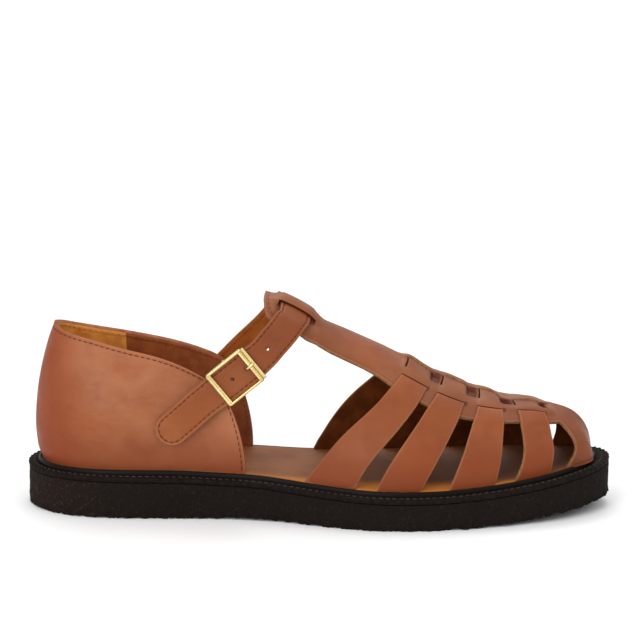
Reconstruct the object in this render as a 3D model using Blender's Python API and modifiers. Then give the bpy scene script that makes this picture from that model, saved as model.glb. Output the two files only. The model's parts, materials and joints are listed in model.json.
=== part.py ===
"""Fisherman sandal for the right foot, women's EU 38, standing empty on its sole.

The sandal is a woven leather forepart with a T-bar, a closed heel quarter, an ankle strap with
a square brass buckle, a leather insole, a storm welt and a crepe outsole.  +X runs to the toe,
-Y is the outer (lateral) side, +Z is up, and the origin is the middle of the heel's floor flat.
"""
import math

import bmesh
import bpy
import numpy as np
from mathutils import Matrix, Vector

MM = 0.001

# Driving sizes of the last and the sole
LAST_LENGTH = 256.0 * MM
BALL_WIDTH = 83.0 * MM
INSTEP_HEIGHT = 80.0 * MM
COUNTER_HEIGHT = 64.0 * MM
HEEL_SEAT = 36.0 * MM
SOLE_HEIGHT = 19.4 * MM
TOE_SPRING = 7.6 * MM
ARCH_LIFT = 0.9 * MM
WELT_MARGIN = 7.3 * MM
TOE_MARGIN = 8.3 * MM
HEEL_MARGIN = 6.1 * MM
WELT_THICKNESS = 2.2 * MM
BEAD_HEIGHT = 2.2 * MM
BEAD_WIDTH = 1.6 * MM
SOLE_EDGE_ROUND = 1.2 * MM

# Driving sizes of the upper
WALL = 2.2 * MM
GAP = 0.3 * MM
FOOT_EXTRA = 0.3 * MM
BAND_RISE = 1.5 * MM
STRAP_RISE = 1.8 * MM
SLIT_DEPTH = 0.9 * MM

# Driving sizes of the ankle strap and its buckle
ANKLE_STRAP_WIDTH = 15.0 * MM
ANKLE_STRAP_THICKNESS = 2.0 * MM
HOLE_RADIUS = 1.25 * MM
HOLE_PLACES = (-1.3 * MM, 6.9 * MM, 19.8 * MM)
BUCKLE_LENGTH = 20.5 * MM
BUCKLE_WIDTH = 18.5 * MM
BUCKLE_BACK_BAR = 2.5 * MM
BUCKLE_FRONT_BAR = 2.2 * MM
BUCKLE_RAIL = 1.45 * MM
BUCKLE_HEIGHT = 2.1 * MM
BUCKLE_LIFT = 2.0 * MM
BUCKLE_DIP = 0.5 * MM
OUTER_BAR_RADIUS = 0.85 * MM
CENTRE_BAR_RADIUS = 0.7 * MM
PRONG_RADIUS = 0.65 * MM
TAB_WIDTH = 9.0 * MM
TAB_SLOT = 3.0 * MM
TAB_THICKNESS = 1.0 * MM

# Where the heel flat ends and where the toe spring starts, as shares of the last length
ARCH_START = 0.27
ARCH_END = 0.52
BALL_END = 0.70
SPRING_POWER = 1.86

# Outline of the upper where it meets the insole, once round from the heel's back
# by the outer side to the toe and home by the inner side.
# along: share of LAST_LENGTH, across: share of BALL_WIDTH, inner side positive
OUTLINE = (
    (0.000, 0.000),
    (0.028, -0.200),
    (0.095, -0.308),
    (0.190, -0.322),
    (0.320, -0.306),
    (0.430, -0.340),
    (0.530, -0.435),
    (0.620, -0.502),
    (0.700, -0.490),
    (0.790, -0.425),
    (0.880, -0.320),
    (0.950, -0.190),
    (0.993, -0.010),
    (0.990, 0.160),
    (0.945, 0.320),
    (0.860, 0.445),
    (0.750, 0.498),
    (0.650, 0.455),
    (0.540, 0.365),
    (0.440, 0.308),
    (0.330, 0.302),
    (0.190, 0.322),
    (0.095, 0.308),
    (0.028, 0.200),
)

# Whole sole and welt height along the foot
# along: share of LAST_LENGTH, height: share of SOLE_HEIGHT
SOLE_SECTIONS = (
    (-0.03, 1.000),
    (0.10, 1.000),
    (0.25, 0.990),
    (0.36, 0.895),
    (0.44, 0.842),
    (0.51, 0.814),
    (0.59, 0.773),
    (0.66, 0.758),
    (0.78, 0.760),
    (1.03, 0.763),
)

# Crown of the last over the insole
# along: share of LAST_LENGTH, height: share of INSTEP_HEIGHT, ridge: share of BALL_WIDTH
# to the inner side, full: 2 is an ellipse, more is squarer
CROWN_SECTIONS = (
    (0.330, 1.035, 0.024, 3.00),
    (0.410, 0.992, 0.024, 3.00),
    (0.445, 0.955, 0.025, 2.95),
    (0.473, 0.915, 0.027, 2.90),
    (0.500, 0.864, 0.030, 2.85),
    (0.550, 0.800, 0.036, 2.75),
    (0.605, 0.726, 0.042, 2.45),
    (0.655, 0.655, 0.046, 2.15),
    (0.710, 0.567, 0.050, 1.95),
    (0.777, 0.468, 0.055, 1.95),
    (0.832, 0.410, 0.060, 2.05),
    (0.871, 0.380, 0.064, 2.15),
    (0.895, 0.361, 0.065, 2.20),
    (0.918, 0.330, 0.066, 2.30),
    (0.945, 0.306, 0.066, 2.40),
    (1.000, 0.280, 0.066, 2.40),
)

# Rows of the T-bar, from its end towards the straps
# along: share of LAST_LENGTH at the ridge, side: half width of the instep there and
# edge: half width of the bar, both as shares of BALL_WIDTH, sweep: share of LAST_LENGTH
# by which the row runs back down its sides, hump: how far the bridge and the margins part
# to let the ankle strap through
BAR_ROWS = (
    (0.4075, 0.337, 0.100, 0.000, 0.00),
    (0.4110, 0.337, 0.155, 0.000, 0.00),
    (0.4180, 0.339, 0.180, 0.000, 0.00),
    (0.4250, 0.342, 0.183, 0.000, 0.30),
    (0.4315, 0.344, 0.182, 0.000, 1.00),
    (0.4540, 0.348, 0.184, 0.000, 1.00),
    (0.4720, 0.354, 0.189, 0.000, 1.00),
    (0.4920, 0.362, 0.196, 0.000, 1.00),
    (0.4995, 0.366, 0.203, 0.000, 0.20),
    (0.5080, 0.372, 0.209, 0.000, 0.00),
    (0.5300, 0.378, 0.213, 0.004, 0.00),
    (0.5600, 0.392, 0.220, 0.014, 0.00),
    (0.5900, 0.405, 0.234, 0.034, 0.00),
    (0.6200, 0.418, 0.262, 0.058, 0.00),
)

# Edges of the side straps and of the toe band, from the back to the front
# along: share of LAST_LENGTH at the ridge, bend: share of LAST_LENGTH by which the edge
# curves back near the sole, turn: share of the way round the outline where it ends;
# then bend and turn of the same edge on the inner side, turn counted by that side
STRAP_EDGES = (
    ("first back", 0.6645, -0.0640, 0.2423, 0.012, 0.2434),
    ("first front", 0.7134, -0.0284, 0.2837, -0.035, 0.2820),
    ("second back", 0.7278, -0.0100, 0.3004, -0.020, 0.2980),
    ("second front", 0.7766, -0.0090, 0.3369, 0.000, 0.3340),
    ("third back", 0.7930, 0.0035, 0.3597, -0.020, 0.3480),
    ("third front", 0.8370, -0.0280, 0.3962, 0.015, 0.3820),
    ("fourth back", 0.8548, -0.0630, 0.4138, -0.010, 0.3960),
    ("fourth front", 0.9065, -0.0500, 0.4453, -0.035, 0.4260),
    ("toe back", 0.9130, -0.0950, 0.4640, -0.075, 0.4420),
)
TOE_POLE = 0.932
STRAPS = 4

# Columns across the spine, from its centre line to its cut edge
# bar: share of the half width on the T-bar, weave: the same between the straps
# band: rise of a woven band and strap: rise of a strap lying on the margin, as shares
COLUMNS = (
    (0.000, 0.000, 0.00, 0.0),
    (0.060, 0.050, 0.00, 0.0),
    (0.160, 0.140, 1.00, 0.0),
    (0.320, 0.400, 1.00, 0.0),
    (0.440, 0.580, 0.90, 0.0),
    (0.520, 0.660, -0.35, 0.0),
    (0.640, 0.740, 0.00, 1.0),
    (1.000, 1.000, 0.00, 0.8),
)
SLIT_COLUMN = 4
BRIDGE_LIFT = (ANKLE_STRAP_THICKNESS + WALL + 2.0 * GAP) / 2.0
# centre: where the spine's centre line runs and edge: where its cut edge runs, in quarter
# turns down the section from the ridge to the outer side
SPINE_CENTRE = 0.085
SPINE_EDGE = 0.455
STRAP_COLUMNS = (0.10, 0.30, 0.52, 0.74, 0.92, 1.0)

# Wall of the heel quarter, set in from the outline
# high, back, side, front: all shares of COUNTER_HEIGHT; side is at the heel, front at
# the quarter's front edge
HEEL_WALL = (
    (0.000, 0.000, 0.000, 0.000),
    (0.090, -0.031, -0.014, -0.010),
    (0.250, -0.044, -0.022, -0.014),
    (0.400, -0.037, -0.016, -0.008),
    (0.530, -0.022, 0.016, 0.004),
    (0.625, -0.005, 0.045, 0.018),
    (0.770, 0.030, 0.088, 0.045),
    (0.875, 0.061, 0.125, 0.070),
    (1.000, 0.108, 0.165, 0.090),
)

# Top line of the quarter
# turn: share of the way from the back to the front edge, outer and inner: height of that
# side as a share of COUNTER_HEIGHT
TOP_LINE = (
    (0.00, 0.993, 0.993),
    (0.10, 0.969, 0.969),
    (0.20, 0.945, 0.934),
    (0.34, 0.912, 0.890),
    (0.50, 0.860, 0.844),
    (0.67, 0.803, 0.792),
    (0.80, 0.736, 0.741),
    (0.90, 0.672, 0.695),
    (1.00, 0.590, 0.620),
)
QUARTER_FRONT = 0.1920
QUARTER_LEAN = 0.093

# Centre line of the ankle strap from its tip, up over the T-bar and down to the inner side
# along: share of LAST_LENGTH, across: share of BALL_WIDTH, high: share of INSTEP_HEIGHT
# above the floor, slant: degrees by which the strap's width points down to the front
ANKLE_STRAP = (
    (0.2255, -0.350, 0.458, 50.0),
    (0.270, -0.352, 0.586, 49.0),
    (0.315, -0.353, 0.716, 48.0),
    (0.361, -0.349, 0.832, 47.0),
    (0.405, -0.314, 0.953, 44.0),
    (0.435, -0.253, 1.045, 40.0),
    (0.453, -0.165, 1.106, 34.0),
    (0.462, -0.085, 1.140, 29.0),
    (0.464, 0.024, 1.154, 28.0),
    (0.460, 0.130, 1.140, 30.0),
    (0.448, 0.226, 1.084, 35.0),
    (0.409, 0.292, 0.930, 43.0),
    (0.360, 0.322, 0.790, 47.0),
    (0.318, 0.330, 0.665, 48.0),
)
STRAP_STEPS = 44
BUCKLE_ALONG = 0.360
# Half widths at the ridge between which the ankle strap leaves the shape of the T-bar
STRAP_ON_BAR = (0.115, 0.185)
# Lengths from the buckle's middle between which the strap leaves the buckle's plane
STRAP_IN_BUCKLE = (12.0 * MM, 24.0 * MM)


# Smooth curves through short tables
def table_value(rows, column, at, key=0):
    """Monotone cubic through one column of a table, read at the key column's values."""
    x = np.array([row[key] for row in rows], float)
    y = np.array([row[column] for row in rows], float)
    step = np.diff(x)
    slope = np.diff(y) / step
    tangent = np.empty_like(y)
    tangent[0] = slope[0]
    tangent[-1] = slope[-1]
    for i in range(1, len(x) - 1):
        tangent[i] = 0.0
        if slope[i - 1] * slope[i] > 0.0:
            before = 2.0 * step[i] + step[i - 1]
            after = step[i] + 2.0 * step[i - 1]
            tangent[i] = (before + after) / (before / slope[i - 1] + after / slope[i])
    at = np.clip(np.asarray(at, float), x[0], x[-1])
    i = np.clip(np.searchsorted(x, at) - 1, 0, len(x) - 2)
    t = (at - x[i]) / step[i]
    start = (1.0 + 2.0 * t) * (1.0 - t) ** 2 * y[i] + t * (1.0 - t) ** 2 * step[i] * tangent[i]
    return start + t * t * (3.0 - 2.0 * t) * y[i + 1] - t * t * (1.0 - t) * step[i] * tangent[i + 1]


def closed_curve(points, dense=40):
    """Closed cubic spline with even curvature through the points, as many short chords."""
    p = np.asarray(points, float)
    count = len(p)
    chord = np.linalg.norm(np.roll(p, -1, 0) - p, axis=1)
    matrix = np.zeros((count, count))
    right = np.zeros((count, 2))
    for i in range(count):
        matrix[i, i - 1] += chord[i - 1]
        matrix[i, i] += 2.0 * (chord[i - 1] + chord[i])
        matrix[i, (i + 1) % count] += chord[i]
        right[i] = 6.0 * ((p[(i + 1) % count] - p[i]) / chord[i] - (p[i] - p[i - 1]) / chord[i - 1])
    bend = np.linalg.solve(matrix, right)
    t = np.linspace(0.0, 1.0, dense, endpoint=False)[:, None]
    spans = []
    for i in range(count):
        j = (i + 1) % count
        sag = ((1.0 - t) ** 3 - (1.0 - t)) * bend[i] + (t ** 3 - t) * bend[j]
        spans.append((1.0 - t) * p[i] + t * p[j] + chord[i] ** 2 / 6.0 * sag)
    return np.concatenate(spans)


# Stations along the last and the outline round it
def station(share):
    """X of a share of the last length, measured from the upper's back."""
    return np.asarray(share, float) * LAST_LENGTH + HEEL_MARGIN - HEEL_SEAT


def share_of(x):
    """Share of the last length at an X."""
    return (np.asarray(x, float) - HEEL_MARGIN + HEEL_SEAT) / LAST_LENGTH


RING = closed_curve([(float(station(a)), c * BALL_WIDTH) for a, c in OUTLINE])
RING_STEP = np.linalg.norm(np.roll(RING, -1, 0) - RING, axis=1)
RING_TURN = np.concatenate([[0.0], np.cumsum(RING_STEP)]) / RING_STEP.sum()
TOE_TURN = float(RING_TURN[int(np.argmax(RING[:, 0]))])


def outline_at(turn):
    """Points and outward normals on the outline, at shares of the way round it."""
    turn = np.mod(np.asarray(turn, float), 1.0)
    closed = np.vstack([RING, RING[:1]])
    point = np.stack([np.interp(turn, RING_TURN, closed[:, k]) for k in (0, 1)], -1)
    probe = 0.004
    ahead = np.mod(turn + probe, 1.0)
    behind = np.mod(turn - probe, 1.0)
    along = np.stack([np.interp(ahead, RING_TURN, closed[:, k])
                      - np.interp(behind, RING_TURN, closed[:, k]) for k in (0, 1)], -1)
    along /= np.linalg.norm(along, axis=-1, keepdims=True)
    return point, np.stack([along[..., 1], -along[..., 0]], -1)


def floor_lift(x):
    """Height of the sole's underside: flat heel, low arch, flat ball, toe spring."""
    share = share_of(x)
    arch = np.clip((share - ARCH_START) / (ARCH_END - ARCH_START), 0.0, 1.0)
    toe = np.clip((share - BALL_END) / (1.0 - BALL_END), 0.0, None)
    return ARCH_LIFT * np.sin(math.pi * arch) ** 2 + TOE_SPRING * 0.93 * toe ** SPRING_POWER


def welt_top(x):
    return floor_lift(x) + SOLE_HEIGHT * table_value(SOLE_SECTIONS, 1, share_of(x))


def outsole_top(x):
    return welt_top(x) - WELT_THICKNESS - GAP


def insole_top(x):
    return welt_top(x) + BEAD_HEIGHT


def welt_margin(x):
    """Width of the welt outside the upper: narrow at the heel, wide at the toe."""
    share = share_of(x)
    heel = np.clip((0.21 - share) / 0.21, 0.0, 1.0)
    toe = np.clip((share - 0.72) / 0.28, 0.0, 1.0)
    return WELT_MARGIN - (WELT_MARGIN - HEEL_MARGIN) * heel + (TOE_MARGIN - WELT_MARGIN) * toe ** 2


# Materials and mesh builders
def leather_like(name, colour, roughness, metallic=0.0):
    """One Principled material, with linear colour values."""
    material = bpy.data.materials.new(name)
    material.use_nodes = True
    shader = material.node_tree.nodes["Principled BSDF"]
    shader.inputs["Base Color"].default_value = (*colour, 1.0)
    shader.inputs["Roughness"].default_value = roughness
    shader.inputs["Metallic"].default_value = metallic
    material.diffuse_color = (*colour, 1.0)
    return material


def add_object(name, mesh, material, collection):
    mesh.materials.append(material)
    obj = bpy.data.objects.new(name, mesh)
    collection.objects.link(obj)
    return obj


def shade_round(mesh, degrees=40.0):
    mesh.shade_smooth()
    mesh.set_sharp_from_angle(angle=math.radians(degrees))


def sheet_mesh(name, grid, cells=None):
    """Open surface from a grid of points (rows, columns, 3); cells says which to keep.

    Points that fall together, as where the two halves of the toe meet, become one."""
    rows, columns = grid.shape[:2]
    shape = bmesh.new()
    verts = [[shape.verts.new(grid[r, c]) for c in range(columns)] for r in range(rows)]
    for r in range(rows - 1):
        for c in range(columns - 1):
            if cells is None or cells[r, c]:
                shape.faces.new((verts[r][c], verts[r][c + 1], verts[r + 1][c + 1], verts[r + 1][c]))
    loose = [v for v in shape.verts if not v.link_faces]
    bmesh.ops.delete(shape, geom=loose, context="VERTS")
    bmesh.ops.remove_doubles(shape, verts=shape.verts, dist=0.00002)
    mesh = bpy.data.meshes.new(name)
    shape.to_mesh(mesh)
    shape.free()
    return mesh


def add_wall(obj, thickness, offset):
    wall = obj.modifiers.new("wall", "SOLIDIFY")
    wall.thickness = thickness
    wall.offset = offset
    wall.use_even_offset = False
    wall.use_rim = True
    return wall


def outline_turns(count):
    """Turns of paired points: up the outer side and up the inner side, heel to toe."""
    share = 0.5 - 0.5 * np.cos(np.linspace(0.0, math.pi, count + 1))
    share = 0.6 * np.linspace(0.0, 1.0, count + 1) + 0.4 * share
    return share * TOE_TURN, 1.0 - share * (1.0 - TOE_TURN)


def slab(name, levels, material, collection, count=44):
    """Closed plate: rings of the outline, one above the other, capped by strips across.

    levels holds (margin outside the outline, height) functions of X, from the bottom up."""
    outer, inner = outline_turns(count)
    turns = np.concatenate([outer, inner[1:-1][::-1]])
    point, normal = outline_at(turns)
    shape = bmesh.new()
    rings = []
    for margin, height in levels:
        flat = point + normal * np.reshape(margin(point[:, 0]), (-1, 1))
        rings.append([shape.verts.new((x, y, z)) for (x, y), z in zip(flat, height(flat[:, 0]))])
    around = len(turns)
    for low, high in zip(rings, rings[1:]):
        for i in range(around):
            j = (i + 1) % around
            shape.faces.new((low[i], low[j], high[j], high[i]))
    for ring, upward in ((rings[0], False), (rings[-1], True)):
        for i in range(count):
            a, b = ring[i], ring[i + 1]
            c, d = ring[(around - i - 1) % around], ring[(around - i) % around]
            corners = [a, b, c] if i == 0 else [a, b, d] if i == count - 1 else [a, b, c, d]
            shape.faces.new(corners if upward else corners[::-1])
    mesh = bpy.data.meshes.new(name)
    shape.to_mesh(mesh)
    shape.free()
    shade_round(mesh)
    return add_object(name, mesh, material, collection)


def ring_solid(name, profile, material, collection, count=112):
    """Closed hoop that follows the outline; profile holds (outward, height) functions of X."""
    turns = np.linspace(0.0, 1.0, count, endpoint=False)
    point, normal = outline_at(turns)
    shape = bmesh.new()
    hoops = []
    for margin, height in profile:
        flat = point + normal * np.reshape(margin(point[:, 0]), (-1, 1))
        hoops.append([shape.verts.new((x, y, z)) for (x, y), z in zip(flat, height(flat[:, 0]))])
    for k in range(len(hoops)):
        low, high = hoops[k], hoops[(k + 1) % len(hoops)]
        for i in range(count):
            j = (i + 1) % count
            shape.faces.new((low[i], low[j], high[j], high[i]))
    mesh = bpy.data.meshes.new(name)
    shape.to_mesh(mesh)
    shape.free()
    shade_round(mesh)
    return add_object(name, mesh, material, collection)


def tube_mesh(name, points, radius, closed=False):
    """Round bar along a path, made a closed mesh."""
    curve = bpy.data.curves.new(name, "CURVE")
    curve.dimensions = "3D"
    curve.bevel_depth = radius
    curve.bevel_resolution = 2
    curve.use_fill_caps = not closed
    spline = curve.splines.new("POLY")
    spline.points.add(len(points) - 1)
    for target, p in zip(spline.points, points):
        target.co = (*p, 1.0)
    spline.use_cyclic_u = closed
    holder = bpy.data.objects.new(name + "_path", curve)
    bpy.context.scene.collection.objects.link(holder)
    graph = bpy.context.evaluated_depsgraph_get()
    mesh = bpy.data.meshes.new_from_object(holder.evaluated_get(graph))
    bpy.data.objects.remove(holder)
    bpy.data.curves.remove(curve)
    shape = bmesh.new()
    shape.from_mesh(mesh)
    bmesh.ops.remove_doubles(shape, verts=shape.verts, dist=0.00001)
    bmesh.ops.recalc_face_normals(shape, faces=shape.faces)
    shape.to_mesh(mesh)
    shape.free()
    mesh.name = name
    shade_round(mesh)
    return mesh


# Upper: the woven forepart with its T-bar
def crown_point(ridge_x, shift, base_y, down):
    """Point on the last's crown: down is 0 at the ridge and 1 where the wall meets the insole.

    The section is a superellipse: across by the sine, up by a power of the cosine."""
    x = ridge_x + shift
    share = share_of(x)
    ridge = BALL_WIDTH * table_value(CROWN_SECTIONS, 2, share_of(ridge_x))
    full = table_value(CROWN_SECTIONS, 3, share)
    rise = INSTEP_HEIGHT * table_value(CROWN_SECTIONS, 1, share)
    angle = abs(down) * math.pi / 2.0
    y = ridge + math.sin(angle) * (base_y - ridge)
    foot = GAP + FOOT_EXTRA * down ** 4
    z = insole_top(x) + foot + rise * max(math.cos(angle), 0.0) ** (2.0 / full)
    return np.array([float(x), float(y), float(z)])


def strap_row(values, toe, down, inner):
    """Point on the row that runs from the ridge to a turn of the outline.

    toe is 1 where the row runs down the front of the toe, which is round like the sides."""
    along, bend, turn, inner_bend, inner_turn = values
    ridge_x = float(station(along))
    base, _ = outline_at(1.0 - inner_turn if inner else turn)
    curve = (inner_bend if inner else bend) * LAST_LENGTH
    reach = base[0] - ridge_x - curve
    shift = reach * down ** 2 + curve * down ** 4
    shift += (reach * math.sin(down * math.pi / 2.0) - shift) * toe
    return crown_point(ridge_x, shift, base[1], down)


def bar_row(along, side, sweep, down, inner):
    """Point on a row of the T-bar."""
    ridge_x = float(station(along))
    ridge = BALL_WIDTH * float(table_value(CROWN_SECTIONS, 2, along))
    reach = side * BALL_WIDTH
    base_y = ridge + reach if inner else ridge - reach
    return crown_point(ridge_x, -sweep * LAST_LENGTH * down ** 2, base_y, down)


def forepart_rows():
    """Every row of the forepart: how to find its points and what the weave does there."""
    rows = []
    for along, side, edge, sweep, hump in BAR_ROWS:
        reach = math.asin(edge / side) * 2.0 / math.pi
        rows.append({"kind": "bar", "values": (along, side, sweep), "edge": reach,
                     "centre": 0.0, "weave": 0.0, "hump": hump, "band": 0.0, "strap": 0.0})
    plain = {"kind": "strap", "edge": SPINE_EDGE, "centre": SPINE_CENTRE, "weave": 1.0,
             "hump": 0.0, "band": 0.0, "strap": 0.0}
    for k in range(STRAPS):
        back, front = STRAP_EDGES[2 * k], STRAP_EDGES[2 * k + 1]
        for part, (band, strap) in ((0.0, (0.0, 0.0)), (0.12, (0.85, 1.0)), (0.5, (1.0, 1.0)),
                                    (0.88, (0.85, 1.0)), (1.0, (0.0, 0.0))):
            values = tuple(back[n] + (front[n] - back[n]) * part for n in range(1, 6))
            row = dict(plain, values=values, band=band, strap=strap, open=part == 1.0)
            if k == 0 and part == 0.0:
                row["weave"] = 0.75
                row["centre"] = SPINE_CENTRE * 0.6
            rows.append(row)
    _, along, bend, turn, inner_bend, inner_turn = STRAP_EDGES[-1]
    for part in (0.0, 0.12, 0.3, 0.5, 0.68, 0.84, 0.94, 1.0):
        ease = 1.0 - (1.0 - part) ** 2
        values = (along + (TOE_POLE - along) * ease, bend * (1.0 - ease),
                  turn + (TOE_TURN - turn) * part, inner_bend * (1.0 - ease),
                  inner_turn + (1.0 - TOE_TURN - inner_turn) * part)
        rows.append(dict(plain, values=values, centre=SPINE_CENTRE * (1.0 - ease), toe=part))
    return rows


def column_places(row):
    """Places down the section, outer side positive, from the inner foot to the outer foot."""
    weave = row["weave"]
    across = [c[0] + (c[1] - c[0]) * weave for c in COLUMNS]
    outer_edge = row["edge"]
    inner_edge = row["edge"]
    centre = row["centre"]
    places = [centre + (outer_edge - centre) * a for a in across]
    places += [outer_edge + (1.0 - outer_edge) * v for v in STRAP_COLUMNS]
    inner = [-(-centre + (inner_edge + centre) * a) for a in across[1:]]
    inner += [-(inner_edge + (1.0 - inner_edge) * v) for v in STRAP_COLUMNS]
    return inner[::-1] + places


def column_rise(row, column):
    """How far the wall is raised at a column, counted from the spine's centre."""
    last = len(COLUMNS) - 1
    if column > last:
        return 0.0
    _, _, band, strap = COLUMNS[column]
    if row["hump"]:
        return BRIDGE_LIFT * row["hump"] * (1.0 if column <= SLIT_COLUMN else -1.0)
    rise = row["band"] * band * BAND_RISE if band > 0.0 else row["band"] * band * SLIT_DEPTH
    return rise + row["strap"] * strap * STRAP_RISE


def forepart_grid():
    """Outer surface of the forepart and the cells that leather fills."""
    rows = forepart_rows()
    side = len(COLUMNS) - 1 + len(STRAP_COLUMNS)
    count = 2 * side + 1
    points = np.zeros((len(rows), count, 3))
    for r, row in enumerate(rows):
        for c, down in enumerate(column_places(row)):
            inner = down < 0.0
            if row["kind"] == "bar":
                along, reach, sweep = row["values"]
                points[r, c] = bar_row(along, reach, sweep, abs(down), inner)
            else:
                points[r, c] = strap_row(row["values"], row.get("toe", 0.0), abs(down), inner)
    normals = grid_normals(points)
    for r, row in enumerate(rows):
        for c in range(count):
            points[r, c] += normals[r, c] * column_rise(row, abs(c - side))
    cells = np.ones((len(rows) - 1, count - 1), bool)
    spine = len(COLUMNS) - 1
    for r in range(len(rows) - 1):
        here, ahead = rows[r], rows[r + 1]
        between = here["kind"] == "bar" or here.get("open", False)
        if between:
            cells[r, :side - spine] = False
            cells[r, side + spine:] = False
        if here["hump"] and ahead["hump"]:
            cells[r, side + SLIT_COLUMN] = False
            cells[r, side - SLIT_COLUMN - 1] = False
    return points, cells


def grid_normals(points):
    """Outward normals of a grid of points, from its neighbours along rows and columns."""
    along = np.gradient(points, axis=0)
    across = np.gradient(points, axis=1)
    normal = np.cross(along, across)
    length = np.linalg.norm(normal, axis=-1, keepdims=True)
    normal = normal / np.maximum(length, 1e-12)
    middle = points.shape[1] // 2
    if normal[:, middle, 2].mean() < 0.0:
        normal = -normal
    return normal


def build_forepart(material, collection):
    points, cells = forepart_grid()
    mesh = sheet_mesh("vamp_upper", points, cells)
    shade_round(mesh, 50.0)
    obj = add_object("vamp_upper", mesh, material, collection)
    add_wall(obj, WALL, face_side(mesh, Vector((0.15, 0.0, -0.3))))
    return obj


def face_side(mesh, away):
    """Solidify offset that thickens a sheet to the side where the point lies."""
    total = 0.0
    for face in mesh.polygons:
        total += face.normal.dot(away - face.center) * face.area
    return 1.0 if total > 0.0 else -1.0


# Heel quarter
def quarter_point(turn_share, height_share):
    """Point on the quarter: from the back (0) to a front edge (1 outer, -1 inner)."""
    u = abs(turn_share)
    top = COUNTER_HEIGHT * float(table_value(TOP_LINE, 1 if turn_share > 0.0 else 2, u))
    height = top * height_share
    lean = QUARTER_LEAN * u * u * height_share ** 2
    turn = QUARTER_FRONT * turn_share * (1.0 - lean)
    point, normal = outline_at(turn)
    high = height / COUNTER_HEIGHT
    sideways = float(normal[1]) ** 2
    forward = np.clip((u - 0.35) / 0.65, 0.0, 1.0)
    side = float(table_value(HEEL_WALL, 2, high)) * (1.0 - forward)
    side += float(table_value(HEEL_WALL, 3, high)) * forward
    back = float(table_value(HEEL_WALL, 1, high))
    inset = COUNTER_HEIGHT * (back * (1.0 - sideways) + side * sideways)
    x, y = point - normal * inset
    return np.array([x, y, float(insole_top(x)) + GAP + height])


def build_quarter(material, collection, columns=34, rows=9):
    shares = np.linspace(1.0, -1.0, columns + 1)
    heights = [0.0, 0.04] + list(np.linspace(0.0, 1.0, rows)[1:])
    grid = np.array([[quarter_point(u, v) for u in shares] for v in heights])
    mesh = sheet_mesh("heel_quarter", grid)
    shade_round(mesh, 50.0)
    obj = add_object("heel_quarter", mesh, material, collection)
    middle = Vector((float(station(0.18)), 0.0, float(insole_top(0.0)) + COUNTER_HEIGHT / 2.0))
    add_wall(obj, WALL, face_side(mesh, middle))
    return obj


# Ankle strap, buckle, prong and tab
def strap_frame(share):
    """Centre, direction, width direction and outward normal of the ankle strap."""
    steps = [(i / (len(ANKLE_STRAP) - 1), *row) for i, row in enumerate(ANKLE_STRAP)]

    def centre(s):
        return np.array([float(station(table_value(steps, 1, s))),
                         BALL_WIDTH * float(table_value(steps, 2, s)),
                         INSTEP_HEIGHT * float(table_value(steps, 3, s))])

    probe = 0.002
    direction = centre(min(share + probe, 1.0)) - centre(max(share - probe, 0.0))
    direction /= np.linalg.norm(direction)
    slant = math.radians(float(table_value(steps, 4, share)))
    width = np.array([math.cos(slant), 0.0, -math.sin(slant)])
    width -= direction * width.dot(direction)
    width /= np.linalg.norm(width)
    normal = np.cross(width, direction)
    return centre(share), direction, width, normal


def strap_shares():
    """Shares along the strap, the lengths from its tip there and the buckle's length."""
    fine = np.linspace(0.0, 1.0, 400)
    path = np.array([strap_frame(s)[0] for s in fine])
    run = np.concatenate([[0.0], np.cumsum(np.linalg.norm(np.diff(path, axis=0), axis=1))])
    middle = float(np.interp(float(station(BUCKLE_ALONG)), path[:200, 0], run[:200]))
    return fine, run, middle


def crown_height(x, y):
    """Height of the T-bar's surface, as bar_row makes it, above a place on the floor."""
    share = share_of(x)
    ridge = BALL_WIDTH * float(table_value(CROWN_SECTIONS, 2, share))
    side = BALL_WIDTH * float(table_value(BAR_ROWS, 1, share))
    sine = min(abs(y - ridge) / side, 0.98)
    full = float(table_value(CROWN_SECTIONS, 3, share))
    rise = INSTEP_HEIGHT * float(table_value(CROWN_SECTIONS, 1, share))
    return float(insole_top(x)) + GAP + rise * (1.0 - sine * sine) ** (1.0 / full)


def on_bar(point):
    """The strap's middle under the bridge, above or below a point of its free path."""
    x, y, _ = point
    probe = 0.0005
    slope_x = (crown_height(x + probe, y) - crown_height(x - probe, y)) / (2.0 * probe)
    slope_y = (crown_height(x, y + probe) - crown_height(x, y - probe)) / (2.0 * probe)
    normal = np.array([-slope_x, -slope_y, 1.0])
    normal /= np.linalg.norm(normal)
    depth = BRIDGE_LIFT - WALL - GAP - ANKLE_STRAP_THICKNESS / 2.0
    return np.array([x, y, crown_height(x, y)]) + normal * depth


def smooth_step(value):
    value = min(max(value, 0.0), 1.0)
    return value * value * (3.0 - 2.0 * value)


def strap_point(length, across, path):
    """Point on the strap's middle sheet, at a length from its tip and a share of half width."""
    fine, run, buckle = path
    middle, _, width, _ = strap_frame(float(np.interp(length, run, fine)))
    free = middle + width * across * ANKLE_STRAP_WIDTH / 2.0
    inside, outside = STRAP_IN_BUCKLE
    fade = smooth_step((abs(length - buckle) - inside) / (outside - inside))
    if fade < 1.0:
        centre, direction, width, normal = strap_frame(float(np.interp(buckle, run, fine)))
        dip = BUCKLE_DIP * min(abs(length - buckle) / (BUCKLE_LENGTH / 2.0), 1.0) ** 2
        held = centre + direction * (length - buckle) - normal * dip
        held += width * across * ANKLE_STRAP_WIDTH / 2.0
        free = held + (free - held) * fade
    ridge = BALL_WIDTH * float(table_value(CROWN_SECTIONS, 2, share_of(free[0])))
    inside, outside = STRAP_ON_BAR
    away = abs(free[1] - ridge) / BALL_WIDTH
    fade = smooth_step((away - inside) / (outside - inside))
    if fade >= 1.0:
        return free
    return free * fade + on_bar(free) * (1.0 - fade)


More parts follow.
